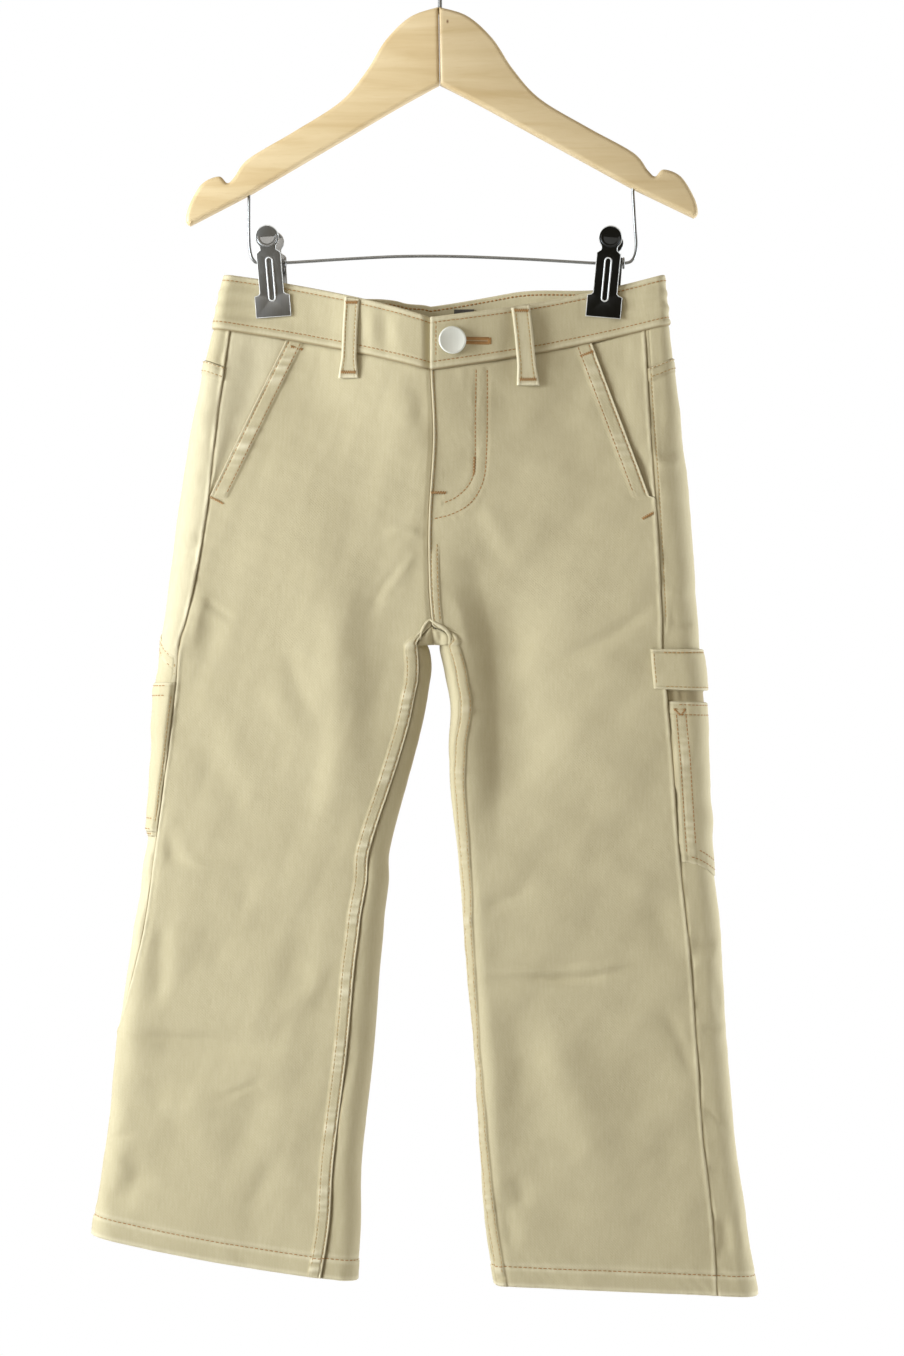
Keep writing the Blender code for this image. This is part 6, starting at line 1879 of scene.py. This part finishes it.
def hanger():
    pivot = HANGER_PIVOT
    tilt = Matrix.Translation(pivot) @ Matrix.Rotation(HANGER_TILT, 4, "Y") @ Matrix.Translation(-pivot)
    for side, direction, lean in (("right", -1.0, math.radians(29.0)), ("left", 1.0, math.radians(-29.0))):
        mesh = plate_mesh([arm_outline(direction)], WOOD_THICKNESS, WOOD_EDGE, 5)
        mesh.transform(tilt)
        material = wood_material("beech_" + side, lean, side == "left", 1.0 if side == "right" else 0.86)
        mesh_piece("hanger_arm_" + side + "_beech", mesh, material, ["hanger_arm_" + side], 46.0)
    centre_z = HOOK_RADIUS - HOOK_CROOK
    angles = [HOOK_NECK_ANGLE + HOOK_SWEEP * k / 48 for k in range(49)]
    crook = [(HOOK_CROOK * math.cos(a), HOOK_CROOK * math.sin(a)) for a in angles]
    bends = [tuple(p) for p in smooth_path(HOOK_NECK + [crook[0]], 8)] + crook[1:]
    route = [(0.0, 0.0, WOOD_TOP - HOOK_SHANK_DEPTH), (0.0, 0.0, WOOD_TOP)]
    route += [(x, 0.0, z + centre_z) for x, z in bends]
    wire_metal = metal_material("wire_steel", srgb(150, 152, 154), 0.28)
    wire_piece("hook_wire", route, HOOK_RADIUS, wire_metal, ["hook"])
    bar = [(x, 0.0, z) for x, z in smooth_path(BAR_ROUTE, 8)]
    bar = [(bar[0][0], 0.0, bar[0][2] + 4.0)] + bar + [(bar[-1][0], 0.0, bar[-1][2] + 4.0)]
    wire_piece("clip_bar_wire", bar, BAR_RADIUS, wire_metal, ["clip_bar"])
    for side in ("right", "left"):
        z = CLIP_BAR[side][1]
        across = Matrix.Rotation(math.radians(90.0), 4, "Y")
        place = Matrix.Translation(Vector((STOP_X[side], 0.0, z)) * MM) @ across
        half = 0.5 * STOP_WIDTH
        profile = [(0.9, -half), (STOP_RADIUS - 0.4, -half), (STOP_RADIUS, -half + 0.3),
                   (STOP_RADIUS, half - 0.3), (STOP_RADIUS - 0.4, half), (0.9, half)]
        name = "bar_stop_" + side
        turned_piece(name + "_steel", profile, place, wire_metal, [name], 32)


CLIP_BAR = {"right": (-106.3, -221.2), "left": (104.7, -221.5)}
CLIP_LEAN = {"right": math.radians(-4.4), "left": math.radians(5.0)}
CLIP_BAR_BELOW_HEAD = 14.4
HEAD_RADIUS = 7.1
NECK_HALF = 4.9
BODY_HALF = 7.4
NECK_W = -7.6
BODY_TOP_W = -9.6
JAW_TOP_W = -35.0
JAW_BOTTOM_W = -48.8
JAW_FLARE = 1.2
LEAF_WALL = 1.0
LEAF_EDGE = 0.3
LEAF_BEND_W = -34.0
LEAF_SLOPE = 0.25
JAW_Y = 4.4
SLOT_HALF = 1.7
SLOT_TOP_W = -12.5
SLOT_BOTTOM_W = -38.5
EAR_TOP_W = -10.6
EAR_BOTTOM_W = -20.5
EAR_REACH = 2.2
EAR_SLANT = 2.0
EAR_OUT = 6.6
EAR_WALL = 0.8
REAR_LEAF_SHIFT = 2.0


def leaf_y(w):
    return JAW_Y + max(0.0, w - LEAF_BEND_W) * LEAF_SLOPE


def leaf_matrix(side, which):
    x, z = CLIP_BAR[side]
    shift = REAR_LEAF_SHIFT if which == "rear" else 0.0
    flip = Matrix.Scale(-1.0 if which == "rear" else 1.0, 4, (0.0, 1.0, 0.0))
    lean = Matrix.Rotation(CLIP_LEAN[side], 4, "Y")
    up = Matrix.Translation((0.0, 0.0, CLIP_BAR_BELOW_HEAD))
    return Matrix.Translation((x + shift, 0.0, z)) @ lean @ up @ flip


def leaf_outline():
    head_end = math.asin(NECK_HALF / HEAD_RADIUS)
    right = []
    for k in range(33):
        angle = (math.pi - head_end) * k / 32
        right.append((HEAD_RADIUS * math.sin(angle), HEAD_RADIUS * math.cos(angle)))
    right += [(NECK_HALF, NECK_W), (BODY_HALF, BODY_TOP_W), (BODY_HALF, JAW_TOP_W + JAW_FLARE)]
    right += [(BODY_HALF + JAW_FLARE, JAW_TOP_W), (JAW_HALF, JAW_TOP_W - 0.5 * JAW_FLARE)]
    right += [(JAW_HALF, JAW_BOTTOM_W)]
    left = [(-u, w) for u, w in reversed(right[1:])]
    return right + left


def slot_outline(half):
    points = []
    for centre, start in ((SLOT_TOP_W - SLOT_HALF, 0.0), (SLOT_BOTTOM_W + SLOT_HALF, math.pi)):
        for k in range(13):
            angle = start + math.pi * k / 12
            points.append((half * math.cos(angle), centre + half * math.sin(angle)))
    return points


def clip(side, plate, bright):
    for which in ("front", "rear"):
        place = leaf_matrix(side, which)
        mesh = plate_mesh([leaf_outline(), slot_outline(SLOT_HALF)], LEAF_WALL, LEAF_EDGE, 2)
        for cut_w in (LEAF_BEND_W, -20.0, -28.0):
            bmesh.ops.bisect_plane(mesh, geom=mesh.verts[:] + mesh.edges[:] + mesh.faces[:],
                                   plane_co=(0.0, 0.0, cut_w), plane_no=(0.0, 0.0, 1.0))
        for vert in mesh.verts:
            vert.co.y -= leaf_y(vert.co.z)
        mesh.transform(place)
        mesh_piece(f"clip_{side}_{which}_plate", mesh, plate, [f"clip_{side}_{which}_leaf"], 30.0)
        rim = [(u, -leaf_y(w) - 0.5 * LEAF_WALL - 0.05, w) for u, w in slot_outline(SLOT_HALF + 0.25)]
        rim = [tuple(place @ Vector(p)) for p in rim]
        wire_piece(f"clip_{side}_{which}_slot_rim", rim, 0.5, bright, [], cyclic=True)
        pressed = plate_mesh([slot_outline(SLOT_HALF + 0.3)], 0.5, 0.1, 1)
        for cut_w in (LEAF_BEND_W, -20.0, -28.0):
            bmesh.ops.bisect_plane(pressed, geom=pressed.verts[:] + pressed.edges[:] + pressed.faces[:],
                                   plane_co=(0.0, 0.0, cut_w), plane_no=(0.0, 0.0, 1.0))
        for vert in pressed.verts:
            vert.co.y -= leaf_y(vert.co.z) - 0.2
        pressed.transform(place)
        mesh_piece(f"clip_{side}_{which}_slot_floor", pressed, plate, [], 30.0)
        edge = [(u, -leaf_y(w) - 0.5 * LEAF_WALL + 0.12, w) for u, w in leaf_outline()]
        edge = [tuple(place @ Vector(p)) for p in edge]
        wire_piece(f"clip_{side}_{which}_edge", edge, 0.28, bright, [], cyclic=True)
        for number, direction in enumerate((-1.0, 1.0)):
            outline = [(-leaf_y(EAR_TOP_W), EAR_TOP_W), (-leaf_y(EAR_BOTTOM_W), EAR_BOTTOM_W),
                       (EAR_REACH, EAR_BOTTOM_W + EAR_SLANT), (EAR_REACH, EAR_TOP_W - EAR_SLANT)]
            ear = plate_mesh([outline], EAR_WALL, 0.15, 1)
            ear.transform(Matrix.Rotation(math.radians(90.0), 4, "Z"))
            ear.transform(Matrix.Translation((direction * (EAR_OUT - 0.5 * EAR_WALL), 0.0, 0.0)))
            ear.transform(place)
            mesh_piece(f"clip_{side}_{which}_ear_{number}", ear, plate, [], 30.0)
        dish = [(0.0, -0.35), (2.6, -0.3), (4.3, 0.05), (5.2, 0.5), (5.9, 0.62), (6.3, 0.5), (6.5, 0.1)]
        out = Matrix.Rotation(math.radians(90.0), 4, "X")
        lean_out = Matrix.Rotation(-math.atan(LEAF_SLOPE), 4, "X")
        head = place @ Matrix.Translation((0.0, -leaf_y(0.0) - 0.5 * LEAF_WALL, 0.0)) @ lean_out @ out
        shrink = Matrix.Scale(MM, 4)
        turned_piece(f"clip_{side}_{which}_dish", dish[::-1], shrink @ head @ Matrix.Scale(1000.0, 4), plate,
                     [], 48)
    x, z = CLIP_BAR[side]
    coil = []
    turns = 5
    for k in range(turns * 16 + 1):
        angle = 2 * np.pi * k / 16
        coil.append((x + 0.5 * REAR_LEAF_SHIFT - 3.4 + 6.8 * k / (turns * 16), 2.9 * math.cos(angle),
                     z + 2.9 * math.sin(angle)))
    wire_piece(f"clip_{side}_coil", coil, 0.55, bright, [f"clip_{side}_spring"])


# The button's radius and height from its back to its sunk middle, and its gap from the band
BUTTON_PROFILE = [(0.0, 0.0), (4.4, 0.0), (5.6, 0.5), (8.0, 1.0), (8.5, 1.4), (8.6, 1.9), (8.3, 2.35),
                  (7.8, 2.5), (7.2, 2.4), (6.6, 2.15), (0.0, 2.1)]
BUTTON_LIFT = 0.35


def button(tree):
    place, out = ray_points(tree, photo(BUTTON_PX))
    normal = Vector(out[0]).normalized()
    base = Vector(place[0]) + normal * BUTTON_LIFT
    turn = normal.to_track_quat("Z", "Y").to_matrix().to_4x4()
    matrix = Matrix.Translation(base * MM) @ turn
    silver = metal_material("button_silver", srgb(232, 234, 228), 0.45, 0.12, 260.0, metallic=0.35)
    turned_piece("button_silver_cap", BUTTON_PROFILE, matrix, silver, ["button"], 96)


# ---------------------------------------------------------------- putting it together

def dress_cad_nodes():
    """Materials for the few frame nodes that show as they are."""
    label, nodes, links = shader("label_cloth")
    body = nodes["Principled BSDF"]
    body.inputs["Roughness"].default_value = 0.85
    spot = nodes.new("ShaderNodeTexCoord")
    weave = add(nodes, "ShaderNodeTexNoise", Scale=1400.0, Detail=2.0)
    links.new(spot.outputs["Object"], weave.inputs["Vector"])
    woven = mix_colour(nodes, links, weave.outputs["Fac"], srgb(46, 44, 42), srgb(86, 82, 76))
    links.new(woven, body.inputs["Base Color"])
    tape = twill_material("zip_tape_twill", srgb(190, 176, 140))
    zip_metal = metal_material("zip_brass", srgb(176, 160, 118), 0.32)
    for node, material in (("inner_label", label), ("zip_tape", tape), ("zip_slider", zip_metal)):
        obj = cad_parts[node]
        obj.data.materials.clear()
        obj.data.materials.append(material)


def jeans():
    brown = Thread()
    tan = Thread()
    objects = {}
    fronts = {}
    backs = {}
    for side in ("right", "left"):
        fronts[side], objects[side] = front_panel(side)
        pocket_facing(side)
        yoke(side)
        backs[side], flap, _ = back_panel(side)
        front = fronts[side]
        back = backs[side]
        slope = math.sin(math.atan2(100.0, 43.0))
        for at in (2.3, 8.8):
            brown.row(*front.along(at / slope, 1.02, MOUTH_END - 0.05), pitch=2.8, length=2.1, radius=0.24)
        for at, first in ((1.9, JUNCTION + 0.5), (7.4, JUNCTION + 1.3)):
            seam = front.along(at, first, HEM_LEVEL - 0.28, from_far=True)
            tan.row(*seam, pitch=2.7, length=2.0, radius=0.24)
        hem_front = hem_line(front)
        hem_back = hem_line(back)
        hem_flap = hem_line(flap)
        for line in (hem_front, hem_back, hem_flap):
            brown.row(*line, pitch=3.1, length=2.3, radius=0.27)
        for at in (1.9, 7.4):
            tan.row(*back_top(back, at), pitch=2.8, length=2.1, radius=0.25)
        for at in (1.9, 6.8):
            tan.row(*back.along(at, 1.8, CROTCH - 0.3), pitch=2.8, length=2.1, radius=0.25)
        if side == "left":
            tan.row(*back.along(2.2, 1.75, 5.1, from_far=True), pitch=2.7, length=2.0, radius=0.24)
            for at, first, last in ((1.9, 1.02, JUNCTION - 0.1), (5.6, 3.35, JUNCTION - 0.15)):
                rise = front.along(at, first, last, from_far=True)
                tan.row(*rise, pitch=2.8, length=2.1, radius=0.26)

    tree = tree_of(objects["right"], objects["left"])
    for way in (FLY_OUTER, FLY_INNER):
        places = [tuple(p) for p in smooth_path(way, 16)]
        brown.row(*ray_points(tree, places), pitch=2.7, length=2.0, radius=0.26)
    for a, b in BAR_TACKS_PX:
        places, normals = ray_points(tree, photo(a, b))
        if len(places) == 2:
            brown.tack(places[0], places[1], normals[0], 2.0, 12, 0.24)
    crotch_rolls()

    face, inner, normals, along, from_top, from_foot = waistband()
    loop_thread(brown, face, normals, from_top, BAND_ROW_TOP, False)
    loop_thread(brown, face, normals, from_foot, BAND_ROW_FOOT, True)
    inside = -normals
    brown.row(inner[4], inside[4], pitch=2.6, length=1.9, radius=0.42)
    end_column = int(np.argmin(np.abs(along - 3.8)))
    brown.row(face[4:-6, end_column], normals[4:-6, end_column], pitch=2.7, length=2.1, radius=0.25)

    band_tree = tree_of(bpy.data.objects["waistband_twill"])
    buttonhole(brown, band_tree)
    button(band_tree)

    for number, (top, foot, widths, at_back) in enumerate(LOOPS, start=1):
        name = f"belt_loop_{number}"
        final, out, _ = strip_piece(name + "_twill", name, top, foot, widths, at_back, 2.0, 0.9,
                                    300 + number, tan)
        for row in (4, 51):
            a, b = final[row, 3], final[row, -4]
            brown.tack(a + 0.1 * out[row, 3], b + 0.1 * out[row, -4], out[row, 13], 2.3, 16, 0.2)
    pockets(brown, tan)
    brown.build("stitches_brown", BROWN)
    tan.build("stitches_tan", TAN)


LOOPS = [
    ((-54.0, -243.5), (-56.5, -294.5), (9.6, 12.6), False),
    ((49.6, -248.5), (54.6, -299.0), (11.8, 14.0), False),
    ((-78.0, -238.0), (-79.0, -289.0), (12.0, 12.0), True),
    ((-5.0, -246.5), (-5.0, -297.0), (12.0, 12.0), True),
    ((80.0, -240.0), (81.0, -291.0), (12.0, 12.0), True),
]


def row_at(points, normals, distance, at):
    """Where the columns of a grid reach a distance that grows along them, with the normals there."""
    places = []
    outs = []
    for c in range(points.shape[1]):
        places.append([np.interp(at, distance[:, c], points[:, c, k]) for k in range(3)])
        outs.append([np.interp(at, distance[:, c], normals[:, c, k]) for k in range(3)])
    return np.array(places), unit(np.array(outs))


def hem_line(panel):
    """The row of stitches a hem's depth above a panel's edge."""
    dist = hem_distance(panel.points)
    return row_at(panel.points[::-1], panel.normals[::-1], dist[::-1], HEM_DEPTH)


def back_top(panel, at):
    """A row of stitches below a back panel's upper edge."""
    run = np.linalg.norm(np.diff(panel.points, axis=0), axis=-1)
    down = np.concatenate([np.zeros((1, run.shape[1])), np.cumsum(run, axis=0)])
    return row_at(panel.points, panel.normals, down, at)


def loop_thread(thread, face, normals, distance, at, from_foot):
    """A row of stitches at a distance from the band's upper or lower edge."""
    order = -1 if from_foot else 1
    row = row_at(face[::order, 2:], normals[::order, 2:], distance[::order, 2:], at)
    thread.row(*row, pitch=2.8, length=2.1, radius=0.27)


def buttonhole(thread, tree):
    """Close stitches round a slot that starts under the button, with an eye at its far end."""
    start, end = photo(*BUTTONHOLE_PX)
    count = 34
    for sign in (-1.0, 1.0):
        for k in range(count):
            part = k / (count - 1)
            x = start[0] + (end[0] - start[0]) * part
            z = start[1] + sign * 1.25
            place, out = ray_points(tree, [(x, z)])
            if len(place):
                way = np.array([[0.25 * sign, 0.0, 1.0]])
                thread.beads(place, unit(way), out, 2.3, 0.22, -0.1)
    for k in range(9):
        angle = -0.5 * math.pi + math.pi * k / 8
        spot = (end[0] + 0.6 * math.cos(angle), end[1] + 1.2 * math.sin(angle))
        place, out = ray_points(tree, [spot])
        if len(place):
            way = np.array([[math.cos(angle), 0.0, math.sin(angle)]])
            thread.beads(place, way, out, 2.0, 0.22, -0.1)
    place, out = ray_points(tree, [(end[0] + 1.4, end[1] - 2.0), (end[0] + 1.4, end[1] + 2.0)])
    if len(place) == 2:
        thread.tack(place[0], place[1], out[0], 1.3, 9, 0.22)


def level_line(a, b, lo, hi):
    """A function of column that runs straight from a to b."""
    return lambda column: a + (b - a) * (column - lo) / (hi - lo)


def pockets(brown, tan):
    lo = 0.56
    patch_piece("hammer_loop_twill", ["hammer_loop"], "left", (lo, 1.03), level_line(6.13, 6.13, lo, 1.0),
                level_line(7.02, 7.02, lo, 1.0), 1.3, 320, (tan, tan), hem=2.4,
                foot_rows=(1.9,))
    pocket = patch_piece("tool_pocket_left_twill", ["tool_pocket_left"], "left", (lo, 1.0),
                         level_line(7.21, 7.21, lo, 1.0), lambda c: 9.3 - 0.18 * step((c - 0.82) / 0.18), 0.7,
                         330, (brown, brown), hem=8.0, foot_rows=(4.4, 10.4),
                         side_rows=(4.4, 10.4), sewn=True)
    tree = tree_of(pocket)
    for a, b in POCKET_TACKS_PX:
        places, normals = ray_points(tree, photo(a, b))
        if len(places) == 2:
            brown.tack(places[0], places[1], normals[0], 1.5, 8, 0.22)
    patch_piece("tool_pocket_right_under_twill", ["tool_pocket_right_under"], "right", (lo, 1.0),
                level_line(4.3, 6.34, lo, 0.995), level_line(8.85, 8.85, lo, 1.0), 0.3, 340,
                (brown, tan), hem=8.0, foot_rows=(1.9, 8.6), sewn=True)
    patch_piece("tool_pocket_right_over_twill", ["tool_pocket_right_over"], "right", (0.57, 1.0),
                level_line(6.88, 6.88, lo, 1.0), level_line(8.8, 8.8, lo, 1.0), 1.2, 350,
                (brown, tan), hem=8.0, foot_rows=(1.9, 8.6), sewn=True)
    for side, seed in (("right", 360), ("left", 370)):
        point = 0.3
        middle, half = 0.345, 0.135
        patch_piece(f"back_pocket_{side}_twill", [f"back_pocket_{side}"], side, (0.21, 0.48),
                    lambda column: 2.35 + 0.0 * column,
                    lambda column: 3.9 + point * (1.0 - np.abs(column - middle) / half),
                    0.9, seed, (brown, tan), hem=11.0, foot_rows=(1.9,))


SKY_IN_FRONT = 0.2
SKY_BEHIND = 0.9
SKY_FRONT_TINT = (1.0, 0.82, 0.5, 1.0)
SKY_BEHIND_TINT = (1.0, 0.93, 0.86, 1.0)
FLOOR_Z = -1.3
FLOOR_RADIUS = 1.6
LAMP_AIM = Vector((0.0, 0.0, -0.48))
CAMERA_DISTANCE = 2.2
CAMERA_X = 0.0075
CAMERA_Z = -0.48075
FRAME_HEIGHT = 0.8475
SENSOR = 36.0
Lamp = namedtuple("Lamp", "name place size power colour")
LAMPS = [
    Lamp("key", (-1.15, -0.56, -0.26), 0.6, 27.0, (0.92, 0.97, 1.0)),
    Lamp("upper", (-0.1, -0.85, 0.35), 0.6, 2.4, (1.0, 0.95, 0.88)),
    Lamp("rim", (1.3, 0.2, -0.5), 0.8, 20.0, (0.92, 0.98, 1.04)),
]


def studio():
    """A pale floor, a dim sky that is brighter behind, three lamps, and the camera."""
    floor_mesh = bmesh.new()
    bmesh.ops.create_circle(floor_mesh, cap_ends=True, segments=96, radius=FLOOR_RADIUS)
    data = bpy.data.meshes.new("floor")
    floor_mesh.to_mesh(data)
    floor_mesh.free()
    floor = bpy.data.objects.new("floor", data)
    floor.location = (0.0, 0.0, FLOOR_Z)
    bpy.context.scene.collection.objects.link(floor)
    material, nodes, links = shader("floor_paper")
    nodes["Principled BSDF"].inputs["Roughness"].default_value = 0.9
    nodes["Principled BSDF"].inputs["Base Color"].default_value = (0.9, 0.9, 0.89, 1.0)
    data.materials.append(material)

    world = bpy.data.worlds.new("studio")
    world.use_nodes = True
    nodes, links = world.node_tree.nodes, world.node_tree.links
    seen = nodes["Background"]
    seen.inputs["Color"].default_value = (1.0, 1.0, 1.0, 1.0)
    seen.inputs["Strength"].default_value = 1.0
    lit = nodes.new("ShaderNodeBackground")
    toward = nodes.new("ShaderNodeTexCoord")
    axes = nodes.new("ShaderNodeSeparateXYZ")
    links.new(toward.outputs["Generated"], axes.inputs[0])
    behind = nodes.new("ShaderNodeMapRange")
    behind.interpolation_type = "SMOOTHSTEP"
    behind.inputs["From Min"].default_value = -0.1
    behind.inputs["From Max"].default_value = 0.5
    behind.inputs["To Min"].default_value = SKY_IN_FRONT
    behind.inputs["To Max"].default_value = SKY_BEHIND
    links.new(axes.outputs[1], behind.inputs["Value"])
    links.new(behind.outputs[0], lit.inputs["Strength"])
    share = nodes.new("ShaderNodeMapRange")
    share.inputs["From Min"].default_value = SKY_IN_FRONT
    share.inputs["From Max"].default_value = SKY_BEHIND
    links.new(behind.outputs[0], share.inputs["Value"])
    tint = mix_colour(nodes, links, share.outputs[0], SKY_FRONT_TINT, SKY_BEHIND_TINT)
    links.new(tint, lit.inputs["Color"])
    ray = nodes.new("ShaderNodeLightPath")
    either = nodes.new("ShaderNodeMixShader")
    links.new(ray.outputs["Is Camera Ray"], either.inputs[0])
    links.new(lit.outputs[0], either.inputs[1])
    links.new(seen.outputs[0], either.inputs[2])
    links.new(either.outputs[0], nodes["World Output"].inputs["Surface"])
    bpy.context.scene.world = world

    for lamp_row in LAMPS:
        lamp = bpy.data.lights.new(lamp_row.name, "AREA")
        lamp.shape = "SQUARE"
        lamp.size = lamp_row.size
        lamp.energy = lamp_row.power
        lamp.color = lamp_row.colour
        obj = bpy.data.objects.new(lamp_row.name, lamp)
        obj.location = lamp_row.place
        aim = LAMP_AIM - Vector(lamp_row.place)
        obj.rotation_euler = aim.to_track_quat("-Z", "Y").to_euler()
        bpy.context.scene.collection.objects.link(obj)

    lens = bpy.data.cameras.new("camera")
    lens.sensor_fit = "AUTO"
    lens.sensor_width = SENSOR
    lens.lens = SENSOR * CAMERA_DISTANCE / FRAME_HEIGHT
    camera = bpy.data.objects.new("camera", lens)
    camera.location = (CAMERA_X, -CAMERA_DISTANCE, CAMERA_Z)
    camera.rotation_euler = (math.radians(90.0), 0.0, 0.0)
    bpy.context.scene.collection.objects.link(camera)
    bpy.context.scene.camera = camera
    bpy.context.scene.view_settings.view_transform = "Standard"


dress_cad_nodes()
jeans()
hanger()
# The clips share one steel. The dark plate of the left clip and the pale plate of the right clip are painted
# reflections, and the pale steel of the leaves' rims and edges is a painted highlight; the springs' coils are
# of that pale steel too.
plate_painted_dark_reflection = metal_material("clip_plate_painted_dark_reflection", srgb(56, 58, 60), 0.24)
plate_painted_pale_reflection = metal_material("clip_plate_painted_pale_reflection", srgb(150, 152, 155), 0.34)
bright_steel_and_painted_highlight = metal_material("bright_steel_and_painted_highlight", srgb(226, 228, 230), 0.4, metallic=0.4)
clip("right", plate_painted_pale_reflection, bright_steel_and_painted_highlight)
clip("left", plate_painted_dark_reflection, bright_steel_and_painted_highlight)
studio()
